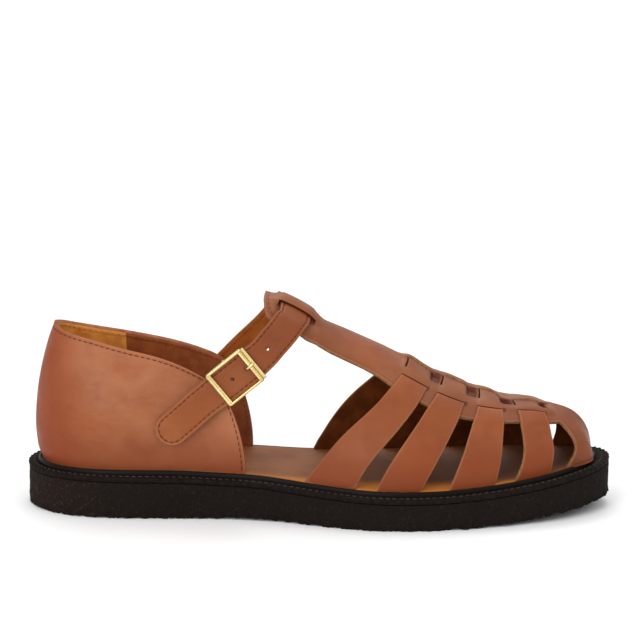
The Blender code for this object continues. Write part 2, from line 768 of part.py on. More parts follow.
def build_ankle_strap(path, material, collection, cutters):
    fine, run, buckle = path
    half = ANKLE_STRAP_WIDTH / 2.0
    tip = [half * (1.0 - math.cos(a)) for a in np.linspace(0.35, math.pi / 2.0, 5)]
    lengths = tip + list(np.linspace(half, run[-1], STRAP_STEPS)[1:])
    grid = []
    for length in lengths:
        reach = math.sqrt(1.0 - max(1.0 - length / half, 0.0) ** 2)
        grid.append([strap_point(length, reach * k, path) for k in (-1.0, -0.5, 0.0, 0.5, 1.0)])
    mesh = sheet_mesh("ankle_strap", np.array(grid))
    shade_round(mesh, 50.0)
    obj = add_object("ankle_strap", mesh, material, collection)
    add_wall(obj, ANKLE_STRAP_THICKNESS, 0.0)
    for number, place in enumerate(HOLE_PLACES):
        centre = strap_point(buckle + place, 0.0, path)
        near = buckle if abs(place) < STRAP_IN_BUCKLE[0] else buckle + place
        normal = strap_frame(float(np.interp(near, run, fine)))[3]
        name = f"hole_cutter_{number + 1}"
        shape = bmesh.new()
        bmesh.ops.create_cone(shape, cap_ends=True, segments=12, radius1=HOLE_RADIUS,
                              radius2=HOLE_RADIUS, depth=8.0 * MM)
        cutter_mesh = bpy.data.meshes.new(name)
        shape.to_mesh(cutter_mesh)
        shape.free()
        turn = Vector(normal).to_track_quat("Z", "Y").to_matrix().to_4x4()
        cutter_mesh.transform(Matrix.Translation(Vector(centre)) @ turn)
        cutter = bpy.data.objects.new(name, cutter_mesh)
        cutter.hide_render = True
        cutter.display_type = "WIRE"
        cutters.objects.link(cutter)
        join(obj, cutter, "DIFFERENCE")


def join(obj, other, operation):
    step = obj.modifiers.new(operation.lower(), "BOOLEAN")
    step.solver = "EXACT"
    step.operation = operation
    step.object = other


def buckle_matrix(path):
    """From the buckle's own axes (along the strap, across it, outward) to the sandal's."""
    fine, run, buckle = path
    centre, direction, width, normal = strap_frame(float(np.interp(buckle, run, fine)))
    turned = Matrix((direction, -width, normal)).transposed().to_4x4()
    return Matrix.Translation(Vector(centre)) @ turned


def box_mesh(name, low, high):
    shape = bmesh.new()
    bmesh.ops.create_cube(shape, size=1.0)
    size = [b - a for a, b in zip(low, high)]
    middle = [(a + b) / 2.0 for a, b in zip(low, high)]
    for vert in shape.verts:
        vert.co = [m + c * k for m, c, k in zip(middle, vert.co, size)]
    mesh = bpy.data.meshes.new(name)
    shape.to_mesh(mesh)
    shape.free()
    return mesh


def helper(name, mesh, matrix, cutters):
    """Turned and hidden body that a Boolean uses."""
    mesh.transform(matrix)
    obj = bpy.data.objects.new(name, mesh)
    obj.hide_render = True
    obj.display_type = "WIRE"
    cutters.objects.link(obj)
    return obj


def centre_bar_height():
    """How far below the strap's middle the centre bar lies, with the tab's leather between."""
    return -(ANKLE_STRAP_THICKNESS / 2.0 + GAP + TAB_THICKNESS + 0.2 * MM + CENTRE_BAR_RADIUS)


def build_buckle(path, material, collection, cutters):
    matrix = buckle_matrix(path)
    half_length = BUCKLE_LENGTH / 2.0
    half_width = BUCKLE_WIDTH / 2.0
    low = BUCKLE_LIFT - BUCKLE_HEIGHT / 2.0
    high = BUCKLE_LIFT + BUCKLE_HEIGHT / 2.0
    frame = box_mesh("buckle_frame", (-half_length, -half_width, low), (half_length, half_width, high))
    frame.transform(matrix)
    obj = add_object("buckle_frame", frame, material, collection)
    window = box_mesh("window", (-half_length + BUCKLE_BACK_BAR, -half_width + BUCKLE_RAIL, low - MM),
                      (half_length - BUCKLE_FRONT_BAR, half_width - BUCKLE_RAIL, high + MM))
    join(obj, helper("window_cutter", window, matrix, cutters), "DIFFERENCE")
    soft = obj.modifiers.new("edges", "BEVEL")
    soft.width = 0.35 * MM
    soft.segments = 2
    soft.limit_method = "ANGLE"
    reach = half_length + OUTER_BAR_RADIUS - 0.1 * MM
    outer = tube_mesh("outer_bar", [(reach, -half_width + 0.7 * MM, BUCKLE_LIFT),
                                    (reach, half_width - 0.7 * MM, BUCKLE_LIFT)], OUTER_BAR_RADIUS)
    join(obj, helper("outer_bar_body", outer, matrix, cutters), "UNION")
    depth = centre_bar_height()
    side = half_width - BUCKLE_RAIL / 2.0
    curve = 0.6 * MM
    path_points = [(0.0, -side, BUCKLE_LIFT), (0.0, -side, depth + curve), (0.0, -side + curve, depth),
                   (0.0, side - curve, depth), (0.0, side, depth + curve), (0.0, side, BUCKLE_LIFT)]
    bar = tube_mesh("centre_bar", path_points, CENTRE_BAR_RADIUS)
    join(obj, helper("centre_bar_body", bar, matrix, cutters), "UNION")


def build_prong(path, material, collection):
    """Prong: a hook under the centre bar, up through the middle hole and over the frame."""
    depth = centre_bar_height()
    hook = CENTRE_BAR_RADIUS + 0.25 * MM + PRONG_RADIUS
    hole = HOLE_PLACES[1]
    rest = BUCKLE_LIFT + BUCKLE_HEIGHT / 2.0 + 0.4 * MM + PRONG_RADIUS
    under = -(ANKLE_STRAP_THICKNESS / 2.0 + 0.6 * MM + PRONG_RADIUS)
    points = []
    for degrees in range(170, -191, -30):
        if degrees < 0:
            angle = math.radians(degrees)
            points.append((hook * math.cos(angle), depth + hook * math.sin(angle)))
    points = points[::-1]
    points += [(0.45 * hole, under - 0.1 * MM), (0.75 * hole, under), (0.95 * hole, under + 0.7 * MM),
               (hole, under + 1.7 * MM), (hole, rest - 1.5 * MM), (hole + 0.3 * MM, rest - 0.4 * MM),
               (hole + 1.1 * MM, rest), (hole + 2.6 * MM, rest), (hole + 4.3 * MM, rest - 0.15 * MM)]
    mesh = tube_mesh("buckle_prong", [(s, 0.0, n) for s, n in points], PRONG_RADIUS)
    mesh.transform(buckle_matrix(path))
    add_object("buckle_prong", mesh, material, collection)


def build_tab(path, material, collection):
    """Tab: up the quarter's outer face, round the centre bar and back inside."""
    depth = centre_bar_height()
    loop = CENTRE_BAR_RADIUS + 0.2 * MM + TAB_THICKNESS / 2.0
    top = depth + loop
    rows = [(-17.0 * MM, top - 1.2 * MM), (-13.0 * MM, top - 0.9 * MM), (-9.0 * MM, top - 0.45 * MM),
            (-5.0 * MM, top - 0.15 * MM), (-2.5 * MM, top)]
    leg = len(rows)
    for degrees in (90, 60, 30, 0, -30, -60, -90):
        angle = math.radians(degrees)
        rows.append((loop * math.cos(angle), depth + loop * math.sin(angle)))
    rows += [(-2.5 * MM, depth - loop), (-5.0 * MM, depth - loop)]
    fine, run, buckle = path
    _, direction, width, normal = strap_frame(float(np.interp(buckle, run, fine)))
    grid = []
    for s, n in rows:
        place = strap_point(buckle + min(s, 0.0), 0.0, path) + direction * max(s, 0.0) + normal * n
        grid.append([place + width * k for k in (-TAB_WIDTH / 2.0, -TAB_SLOT / 2.0,
                                                 TAB_SLOT / 2.0, TAB_WIDTH / 2.0)])
    cells = np.ones((len(rows) - 1, 3), bool)
    cells[leg - 1:len(rows) - 2, 1] = False
    mesh = sheet_mesh("buckle_tab", np.array(grid), cells)
    shade_round(mesh, 50.0)
    obj = add_object("buckle_tab", mesh, material, collection)
    add_wall(obj, TAB_THICKNESS, 0.0)


def main():
    for obj in list(bpy.data.objects):
        bpy.data.objects.remove(obj)
    collection = bpy.data.collections.new("fisherman_sandal")
    bpy.context.scene.collection.children.link(collection)
    cutters = bpy.data.collections.new("cutters")
    bpy.context.scene.collection.children.link(cutters)
    leather = leather_like("tan_leather", (0.36, 0.12, 0.05), 0.5)
    footbed = leather_like("insole_leather", (0.50, 0.25, 0.12), 0.55)
    crepe = leather_like("dark_crepe", (0.022, 0.013, 0.011), 0.8)
    brass = leather_like("brass", (0.80, 0.62, 0.30), 0.25, 1.0)
    edge = leather_like("dark_welt", (0.02, 0.012, 0.01), 0.45)

    slab("outsole", (
        (lambda x: welt_margin(x) - SOLE_EDGE_ROUND, floor_lift),
        (welt_margin, lambda x: floor_lift(x) + SOLE_EDGE_ROUND),
        (welt_margin, outsole_top),
    ), crepe, collection)
    slab("insole", (
        (lambda x: 0.0 * x, lambda x: outsole_top(x) + GAP),
        (lambda x: 0.0 * x, insole_top),
    ), footbed, collection)
    ring_solid("welt", (
        (lambda x: 0.0 * x + GAP, lambda x: outsole_top(x) + GAP),
        (welt_margin, lambda x: outsole_top(x) + GAP),
        (welt_margin, welt_top),
        (lambda x: 0.0 * x + GAP + BEAD_WIDTH, welt_top),
        (lambda x: 0.0 * x + GAP + BEAD_WIDTH * 0.85, lambda x: welt_top(x) + BEAD_HEIGHT * 0.75),
        (lambda x: 0.0 * x + GAP + BEAD_WIDTH * 0.4, lambda x: welt_top(x) + BEAD_HEIGHT),
        (lambda x: 0.0 * x + GAP, lambda x: welt_top(x) + BEAD_HEIGHT * 0.85),
    ), edge, collection)
    build_quarter(leather, collection)
    build_forepart(leather, collection)
    path = strap_shares()
    build_ankle_strap(path, leather, collection, cutters)
    build_buckle(path, brass, collection, cutters)
    build_prong(path, brass, collection)
    build_tab(path, leather, collection)


main()
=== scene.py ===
"""Looks of the right-foot fisherman sandal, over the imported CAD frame.

Every leather piece is a surface worked out from the last's own sizes: the spine with its T-bar,
bands and slits, four side straps that really pass under the bands, the heel quarter, the ankle
strap with its holes, and the brass buckle.  The storm welt, its stitches and the crepe sole
follow the same outline.
"""
import json
import math

import bmesh
import bpy
import numpy as np
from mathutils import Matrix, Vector
from mathutils.kdtree import KDTree

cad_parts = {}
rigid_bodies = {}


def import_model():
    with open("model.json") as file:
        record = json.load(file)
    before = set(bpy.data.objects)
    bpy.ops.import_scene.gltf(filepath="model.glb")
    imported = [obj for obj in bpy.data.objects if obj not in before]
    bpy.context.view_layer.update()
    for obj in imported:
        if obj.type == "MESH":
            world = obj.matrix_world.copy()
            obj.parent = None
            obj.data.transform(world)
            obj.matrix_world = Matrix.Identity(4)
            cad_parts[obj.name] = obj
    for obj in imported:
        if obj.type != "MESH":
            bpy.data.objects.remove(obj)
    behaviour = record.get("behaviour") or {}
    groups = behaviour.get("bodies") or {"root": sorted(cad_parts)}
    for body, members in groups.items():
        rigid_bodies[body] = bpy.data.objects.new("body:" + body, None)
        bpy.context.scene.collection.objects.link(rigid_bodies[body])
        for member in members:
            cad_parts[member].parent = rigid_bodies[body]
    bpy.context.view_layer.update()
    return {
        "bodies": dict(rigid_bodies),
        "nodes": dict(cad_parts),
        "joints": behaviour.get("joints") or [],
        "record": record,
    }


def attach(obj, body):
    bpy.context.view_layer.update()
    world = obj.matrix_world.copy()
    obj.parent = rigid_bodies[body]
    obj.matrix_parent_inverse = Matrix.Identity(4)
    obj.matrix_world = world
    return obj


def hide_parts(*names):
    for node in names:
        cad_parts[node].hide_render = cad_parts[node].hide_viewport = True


bl_info = {
    "name": "Fisherman sandal looks",
    "version": (1, 0, 0),
    "blender": (4, 5, 0),
    "location": "3D View > Sidebar > Sandal",
    "description": "Builds the leather, sole, buckle, stitches and studio of a woven sandal",
    "category": "Object",
}

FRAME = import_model()

MM = 0.001

# Sizes of the last and the sole, as in the CAD frame
LAST_LENGTH = 256.0 * MM
BALL_WIDTH = 83.0 * MM
INSTEP_HEIGHT = 80.0 * MM
COUNTER_HEIGHT = 64.0 * MM
HEEL_SEAT = 36.0 * MM
SOLE_HEIGHT = 19.4 * MM
TOE_SPRING = 7.6 * MM
ARCH_LIFT = 0.9 * MM
WELT_MARGIN = 7.3 * MM
TOE_MARGIN = 8.3 * MM
HEEL_MARGIN = 6.1 * MM
WELT_THICKNESS = 2.2 * MM
BEAD_HEIGHT = 2.2 * MM
BEAD_WIDTH = 1.6 * MM
SOLE_EDGE_ROUND = 1.2 * MM
# Along the last: ends of the arch, start of the toe spring, and its power and shares
ARCH_START = 0.27
ARCH_END = 0.52
BALL_END = 0.70
SPRING_POWER = 1.86
LAST_SPRING = 0.93
CREPE_SPRING = 0.24
# Along the last: where the welt's margin stops widening from the heel and starts again to the toe
HEEL_MARGIN_END = 0.21
TOE_MARGIN_START = 0.72

# Sizes of the upper
WALL = 2.2 * MM
STRAP_LEATHER = 1.5 * MM
GAP = 0.3 * MM
FOOT_TUCK = 0.5 * MM
SPINE_LEATHER = 1.7 * MM
BAND_RISE = 1.5 * MM
INNER_RISE = 0.85 * MM
RECESS = 1.2 * MM
STRAP_RISE = 1.0 * MM
STRAP_DIP = 1.5 * MM
ANKLE_STRAP_WIDTH = 15.0 * MM
ANKLE_STRAP_THICKNESS = 2.0 * MM
# Height of the ankle strap's face over its middle sheet, at its edges, and its seam's place from the edge
STRAP_FACE = ANKLE_STRAP_THICKNESS / 2.0 - 0.2 * MM
STRAP_SEAM = 1.45 * MM
HOLE_RADIUS = 0.9 * MM
# Along the strap from the buckle's middle
HOLE_PLACES = (-1.3 * MM, 6.9 * MM, 19.8 * MM)
BRIDGE_LIFT = (ANKLE_STRAP_THICKNESS + WALL + 2.0 * GAP) / 2.0

# Sizes of the buckle
BUCKLE_LENGTH = 20.5 * MM
BUCKLE_WIDTH = 18.5 * MM
BUCKLE_BACK_BAR = 2.5 * MM
BUCKLE_FRONT_BAR = 2.2 * MM
BUCKLE_RAIL = 1.45 * MM
BUCKLE_HEIGHT = 2.1 * MM
BUCKLE_LIFT = 2.0 * MM
BUCKLE_DIP = 0.5 * MM
OUTER_BAR_RADIUS = 0.85 * MM
CENTRE_BAR_RADIUS = 0.7 * MM
PRONG_RADIUS = 0.62 * MM
TAB_THICKNESS = 1.0 * MM

# Outline of the upper at the insole, shares of LAST_LENGTH and BALL_WIDTH
OUTLINE = (
    (0.000, 0.000), (0.028, -0.200), (0.095, -0.308), (0.190, -0.322), (0.320, -0.306),
    (0.430, -0.340), (0.530, -0.435), (0.620, -0.502), (0.700, -0.490), (0.790, -0.425),
    (0.880, -0.320), (0.950, -0.190), (0.993, -0.010), (0.990, 0.160), (0.945, 0.320),
    (0.860, 0.445), (0.750, 0.498), (0.650, 0.455), (0.540, 0.365), (0.440, 0.308),
    (0.330, 0.302), (0.190, 0.322), (0.095, 0.308), (0.028, 0.200),
)
# along, share of SOLE_HEIGHT
SOLE_SECTIONS = (
    (-0.03, 1.000), (0.10, 1.000), (0.25, 0.990), (0.36, 0.895), (0.44, 0.842),
    (0.51, 0.814), (0.59, 0.773), (0.66, 0.758), (0.78, 0.760), (1.03, 0.763),
)
# along, height share of INSTEP_HEIGHT, ridge share of BALL_WIDTH, fullness of the section
CROWN_SECTIONS = (
    (0.330, 1.035, 0.024, 3.00), (0.410, 0.992, 0.024, 3.00), (0.445, 0.955, 0.025, 2.95),
    (0.473, 0.915, 0.027, 2.90), (0.500, 0.864, 0.030, 2.85), (0.550, 0.800, 0.036, 2.75),
    (0.605, 0.726, 0.042, 2.45), (0.655, 0.655, 0.046, 2.15), (0.710, 0.567, 0.050, 1.95),
    (0.777, 0.468, 0.055, 1.95), (0.832, 0.410, 0.060, 2.05), (0.871, 0.380, 0.064, 2.15),
    (0.895, 0.361, 0.065, 2.20), (0.918, 0.330, 0.066, 2.30), (0.945, 0.306, 0.066, 2.40),
    (1.000, 0.280, 0.066, 2.40),
)
# along, side, edge: shares of BALL_WIDTH, sweep share of LAST_LENGTH, hump of the bridge
BAR_ROWS = (
    (0.4065, 0.337, 0.085, 0.000, 0.00), (0.4080, 0.337, 0.125, 0.000, 0.00),
    (0.4110, 0.337, 0.157, 0.000, 0.00), (0.4180, 0.339, 0.180, 0.000, 0.06),
    (0.4285, 0.343, 0.183, 0.000, 0.50), (0.4345, 0.345, 0.182, 0.000, 0.90),
    (0.4400, 0.346, 0.182, 0.000, 1.00), (0.4540, 0.348, 0.183, 0.000, 1.00),
    (0.4720, 0.354, 0.187, 0.000, 1.00), (0.4860, 0.359, 0.192, 0.000, 1.00),
    (0.4980, 0.365, 0.199, 0.000, 0.55), (0.5150, 0.374, 0.210, 0.001, 0.00),
    (0.5320, 0.379, 0.219, 0.004, 0.00), (0.5600, 0.392, 0.229, 0.014, 0.00),
    (0.5900, 0.405, 0.236, 0.034, 0.00), (0.6200, 0.418, 0.247, 0.058, 0.00),
)
# along, bend and turn on the outer side, bend and turn on the inner side, sweep of the two feet
STRAP_EDGES = (
    (0.6645, -0.0361, 0.2462, -0.0055, 0.2440, -0.014, -0.008),
    (0.7134, -0.0046, 0.2839, -0.035, 0.2820, 0.000, 0.000),
    (0.7278, 0.0138, 0.3010, -0.020, 0.2980, 0.000, 0.000),
    (0.7766, 0.0041, 0.3356, 0.000, 0.3340, 0.000, 0.000),
    (0.7930, -0.0069, 0.3582, -0.020, 0.3480, 0.000, 0.000),
    (0.8370, -0.0216, 0.3967, 0.015, 0.3820, 0.000, 0.000),
    (0.8548, -0.0740, 0.4132, -0.010, 0.3960, 0.000, 0.000),
    (0.9065, -0.0518, 0.4442, -0.035, 0.4260, 0.000, 0.000),
    (0.9130, -0.1300, 0.4605, -0.075, 0.4420, 0.000, 0.000),
)
STRAPS = 4
# Where the toe band's rows meet at the ridge, along the last
TOE_POLE = 0.932
# Middle and cut edge of the woven spine, as shares of the way down the last's section
SPINE_CENTRE = 0.070
SPINE_EDGE = 0.427
# Columns of half the spine, as shares of the way to its cut edge: on the T-bar, in the weave
COLUMNS = (
    (0.000, 0.000), (0.030, 0.012), (0.075, 0.090), (0.120, 0.160), (0.170, 0.235),
    (0.220, 0.310), (0.265, 0.385), (0.310, 0.465), (0.345, 0.550), (0.360, 0.615),
    (0.430, 0.665), (0.520, 0.710), (0.620, 0.762), (0.720, 0.820), (0.820, 0.880),
    (0.910, 0.940), (1.000, 1.000),
)
# Columns from the spine's cut edge down to the foot of the toe band
FOOT_COLUMNS = 14
SLIT_COLUMN = 9
# Column where the cuts across the bands' ends stop
CUT_COLUMN = 6
# How far the bands' ends lie behind their slits, at the ridge
RIDGE_BACK = 1.5 * MM
# Relief of the spine: its edges beside the bridge and the bridge's own sides, as it holds the ankle strap
BRIDGE_SINK = 0.7
BRIDGE_PRESS = 0.85 * MM
# Relief of the weave: its webs beside the slits, its margins over the straps, the inner bands' roll
WEB_RISE = 0.70 * MM
MARGIN_SINK = 0.45 * MM
INNER_ROLL = 1.1
# Share of the last's length over which the weave's relief starts
WEAVE_FADE = 0.022
# How much painted shade darkens the leather in the bands' cuts, at their ends and at the slits' ends
CUT_SHADE = 0.9
CUT_END_SHADE = 0.35
SLIT_SHADE = (1.5, 1.3)
# along, lift of the weave's ridge over the last in millimetres
RIDGE_LIFT = (
    (0.620, 0.0), (0.645, 0.3), (0.6645, 0.9), (0.685, 0.2), (0.700, -0.3), (0.728, 0.5),
    (0.777, 0.5), (0.800, 0.6), (0.818, 0.2), (0.837, -1.4), (0.855, -1.8), (0.875, -1.5),
    (0.9065, -0.9), (0.950, 0.0),
)

# high, then inset at the back, at the side and at the front, shares of COUNTER_HEIGHT
HEEL_WALL = (
    (0.000, 0.000, 0.000, 0.000), (0.090, -0.031, -0.014, -0.010), (0.250, -0.044, -0.022, -0.014),
    (0.400, -0.037, -0.016, -0.008), (0.530, -0.022, 0.016, 0.004), (0.625, -0.005, 0.045, 0.018),
    (0.770, 0.030, 0.088, 0.045), (0.875, 0.061, 0.125, 0.070), (1.000, 0.108, 0.165, 0.090),
)
# turn from the back to the front edge, height of the outer side and of the inner side
TOP_LINE = (
    (0.00, 0.993, 0.993), (0.10, 0.969, 0.969), (0.20, 0.945, 0.934), (0.34, 0.912, 0.890),
    (0.50, 0.860, 0.844), (0.67, 0.803, 0.792), (0.80, 0.736, 0.741), (0.90, 0.672, 0.695),
    (1.00, 0.590, 0.620),
)
# Share of the outline that one side of the quarter takes, and how far back its front edges lean
QUARTER_FRONT = 0.1920
QUARTER_LEAN = 0.093

# along, across, high and slant in degrees of the ankle strap's centre line
ANKLE_STRAP = (
    (0.2255, -0.350, 0.458, 50.0), (0.270, -0.352, 0.586, 49.0), (0.315, -0.353, 0.716, 48.0),
    (0.361, -0.349, 0.832, 47.0), (0.405, -0.314, 0.953, 44.0), (0.435, -0.253, 1.045, 40.0),
    (0.453, -0.165, 1.106, 34.0), (0.462, -0.085, 1.140, 29.0), (0.464, 0.024, 1.154, 28.0),
    (0.460, 0.130, 1.150, 30.0), (0.448, 0.226, 1.134, 35.0), (0.409, 0.292, 0.982, 43.0),
    (0.360, 0.322, 0.823, 47.0), (0.318, 0.330, 0.680, 48.0),
)
BUCKLE_ALONG = 0.360
# From how far across it follows the last to where it is free, as shares of BALL_WIDTH from the ridge
STRAP_ON_BAR = (0.115, 0.185)
# From how far along it is straight to where it is free, from the buckle's middle
STRAP_IN_BUCKLE = (12.0 * MM, 24.0 * MM)
# How much wider each half of the strap is pressed in the buckle
BUCKLE_SPREAD = 0.42 * MM
# How far the strap goes down under the bridge, and how far across, inner and outer, as shares of BALL_WIDTH
UNDER_BRIDGE = 1.4 * MM
BRIDGE_REACH = (0.30, 0.085)
# Step over which the slope of the last is taken
PROBE = 0.5 * MM

# Stitching
STITCH_INSET = 1.75 * MM
STITCH_PITCH = 2.75 * MM
STITCH_LENGTH = 2.4 * MM
THREAD_RADIUS = 0.19 * MM
CHANNEL_DEPTH = 0.22 * MM
WELT_PITCH = 3.05 * MM
RIDGE_HEIGHT = 0.35 * MM
# Threads: pitch, stitch length, radius, material and material slot
UPPER_THREAD = (STITCH_PITCH, STITCH_LENGTH, THREAD_RADIUS, "thread", "upper")
WELT_THREAD = (WELT_PITCH, 2.2 * MM, 0.30 * MM, "welt_thread", "welt")
# One stitch: radii along it as shares of the thread's, how far its ends dive, sides of its section
BEAD_SWELL = (0.45, 0.92, 1.0, 0.92, 0.45)
BEAD_DIVE = 0.9
BEAD_SIDES = 6

# Camera, fitted to the photograph
CAMERA_TARGET = (0.09868, 0.01650, 0.083)
CAMERA_DISTANCE = 1.8
CAMERA_ELEVATION = 13.0
CAMERA_YAW = 3.0
CAMERA_LENS = 217.7
SENSOR_WIDTH = 36.0


# Curves through short tables
def table_value(rows, column, at):
    """Monotone cubic through one column of a table, read at values of its first column."""
    x = np.array([row[0] for row in rows], float)
    y = np.array([row[column] for row in rows], float)
    step = np.diff(x)
    slope = np.diff(y) / step
    tangent = np.empty_like(y)
    tangent[0] = slope[0]
    tangent[-1] = slope[-1]
    for i in range(1, len(x) - 1):
        tangent[i] = 0.0
        if slope[i - 1] * slope[i] > 0.0:
            before = 2.0 * step[i] + step[i - 1]
            after = step[i] + 2.0 * step[i - 1]
            tangent[i] = (before + after) / (before / slope[i - 1] + after / slope[i])
    at = np.clip(np.asarray(at, float), x[0], x[-1])
    i = np.clip(np.searchsorted(x, at) - 1, 0, len(x) - 2)
    t = (at - x[i]) / step[i]
    start = (1.0 + 2.0 * t) * (1.0 - t) ** 2 * y[i] + t * (1.0 - t) ** 2 * step[i] * tangent[i]
    return start + t * t * (3.0 - 2.0 * t) * y[i + 1] - t * t * (1.0 - t) * step[i] * tangent[i + 1]


def closed_curve(points, chords=40):
    """Closed cubic spline with even curvature through the points, cut into short chords."""
    p = np.asarray(points, float)
    count = len(p)
    chord = np.linalg.norm(np.roll(p, -1, 0) - p, axis=1)
    matrix = np.zeros((count, count))
    right = np.zeros((count, 2))
    for i in range(count):
        matrix[i, i - 1] += chord[i - 1]
        matrix[i, i] += 2.0 * (chord[i - 1] + chord[i])
        matrix[i, (i + 1) % count] += chord[i]
        right[i] = 6.0 * ((p[(i + 1) % count] - p[i]) / chord[i] - (p[i] - p[i - 1]) / chord[i - 1])
    bend = np.linalg.solve(matrix, right)
    t = np.linspace(0.0, 1.0, chords, endpoint=False)[:, None]
    spans = []
    for i in range(count):
        j = (i + 1) % count
        sag = ((1.0 - t) ** 3 - (1.0 - t)) * bend[i] + (t ** 3 - t) * bend[j]
        spans.append((1.0 - t) * p[i] + t * p[j] + chord[i] ** 2 / 6.0 * sag)
    return np.concatenate(spans)


def smooth_step(value):
    """3 t^2 - 2 t^3, held at 0 below 0 and at 1 above 1."""
    value = np.clip(value, 0.0, 1.0)
    return value * value * (3.0 - 2.0 * value)


def unit(vectors):
    return vectors / np.linalg.norm(vectors, axis=-1, keepdims=True)


def run_along(path):
    """Length from the start of a path to each of its points."""
    return np.concatenate([[0.0], np.cumsum(np.linalg.norm(np.diff(path, axis=0), axis=1))])


# The last and its outline
def station(share):
    return np.asarray(share, float) * LAST_LENGTH + HEEL_MARGIN - HEEL_SEAT


def share_of(x):
    return (np.asarray(x, float) - HEEL_MARGIN + HEEL_SEAT) / LAST_LENGTH


# Share of the outline either side of a point, over which its direction is taken
OUTLINE_PROBE = 0.004
RING = closed_curve([(float(station(a)), c * BALL_WIDTH) for a, c in OUTLINE])
RING_STEP = np.linalg.norm(np.roll(RING, -1, 0) - RING, axis=1)
RING_LENGTH = float(RING_STEP.sum())
RING_TURN = np.concatenate([[0.0], np.cumsum(RING_STEP)]) / RING_LENGTH
TOE_TURN = float(RING_TURN[int(np.argmax(RING[:, 0]))])


def outline_at(turn):
    """Points and outward normals on the outline, at shares of the way round it."""
    closed = np.vstack([RING, RING[:1]])

    def point_at(places):
        places = np.mod(places, 1.0)
        return np.stack([np.interp(places, RING_TURN, closed[:, k]) for k in (0, 1)], -1)

    turn = np.asarray(turn, float)
    along = unit(point_at(turn + OUTLINE_PROBE) - point_at(turn - OUTLINE_PROBE))
    return point_at(turn), np.stack([along[..., 1], -along[..., 0]], -1)


def toe_spring(x):
    toe = np.clip((share_of(x) - BALL_END) / (1.0 - BALL_END), 0.0, None)
    return TOE_SPRING * toe ** SPRING_POWER


def floor_lift(x):
    """Lift of the last over the floor: a squared sine under the arch, a power under the toe."""
    arch = np.clip((share_of(x) - ARCH_START) / (ARCH_END - ARCH_START), 0.0, 1.0)
    return ARCH_LIFT * np.sin(math.pi * arch) ** 2 + LAST_SPRING * toe_spring(x)


def sole_bottom(x):
    """Underside of the crepe, which is thicker under the toe than the spring of the last."""
    return floor_lift(x) - CREPE_SPRING * toe_spring(x)


def welt_top(x):
    return floor_lift(x) + SOLE_HEIGHT * table_value(SOLE_SECTIONS, 1, share_of(x))


def outsole_top(x):
    return welt_top(x) - WELT_THICKNESS - GAP


def insole_top(x):
    return welt_top(x) + BEAD_HEIGHT


def welt_margin(x):
    """Width of the welt beyond the upper: narrower round the heel, wider round the toe."""
    share = share_of(x)
    heel = np.clip((HEEL_MARGIN_END - share) / HEEL_MARGIN_END, 0.0, 1.0)
    toe = np.clip((share - TOE_MARGIN_START) / (1.0 - TOE_MARGIN_START), 0.0, 1.0)
    return WELT_MARGIN - (WELT_MARGIN - HEEL_MARGIN) * heel + (TOE_MARGIN - WELT_MARGIN) * toe ** 2


# Smooth seeded noise, made of sines with fixed phases
def ripples(points, size, seed):
    """Sum of eight plane waves of about one wavelength, in fixed directions; mostly from -1 to 1."""
    spread = np.random.default_rng(seed)
    total = np.zeros(points.shape[:-1])
    for _ in range(8):
        way = spread.normal(size=3)
        way /= np.linalg.norm(way)
        wave = 2.0 * math.pi / (size * spread.uniform(0.7, 1.4))
        total += np.sin(points @ way * wave + spread.uniform(0.0, 6.28))
    return total / 4.0


# Mesh helpers
MERGE_DISTANCE = 0.03 * MM
# How far a bar's rounded end stands out, as a share of its radius
END_ROUND = 0.6
MATERIALS = {}


def outward(points, centre):
    """Unit normals of a grid of points, turned to point away from a centre."""
    normal = np.cross(np.gradient(points, axis=0), np.gradient(points, axis=1))
    normal /= np.maximum(np.linalg.norm(normal, axis=-1, keepdims=True), 1e-12)
    return normal if ((points - np.asarray(centre)) * normal).sum() > 0.0 else -normal


def baked(obj):
    """The object's mesh with its modifiers worked in."""
    graph = bpy.context.evaluated_depsgraph_get()
    mesh = bpy.data.meshes.new_from_object(obj.evaluated_get(graph))
    old = obj.data
    obj.modifiers.clear()
    obj.data = mesh
    mesh.name = obj.name
    bpy.data.meshes.remove(old)
    return obj


def link(name, mesh, materials):
    for key in materials:
        mesh.materials.append(MATERIALS[key])
    obj = bpy.data.objects.new(name, mesh)
    bpy.context.scene.collection.objects.link(obj)
    return obj


def point_layer(mesh, name, values):
    layer = mesh.attributes.new(name, "FLOAT", "POINT")
    layer.data.foreach_set("value", np.asarray(values, float).reshape(-1))


def joined_to_frame(obj, slot, *nodes):
    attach(obj, "root")
    if nodes:
        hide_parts(*nodes)
    return obj


def edge_distance(mesh):
    """Distance in millimetres from each vertex to the sheet's nearest edge that is no slit."""
    shape = bmesh.new()
    shape.from_mesh(mesh)
    slit = shape.verts.layers.float["slit"]
    rim = []
    for edge in shape.edges:
        if len(edge.link_faces) == 1 and edge.verts[0][slit] + edge.verts[1][slit] < 1.5:
            a, b = edge.verts[0].co, edge.verts[1].co
            rim += [a.lerp(b, t) for t in (0.0, 0.25, 0.5, 0.75)]
    tree = KDTree(len(rim))
    for i, place in enumerate(rim):
        tree.insert(place, i)
    tree.balance()
    far = [tree.find(vert.co)[2] / MM for vert in shape.verts]
    shape.free()
    return far


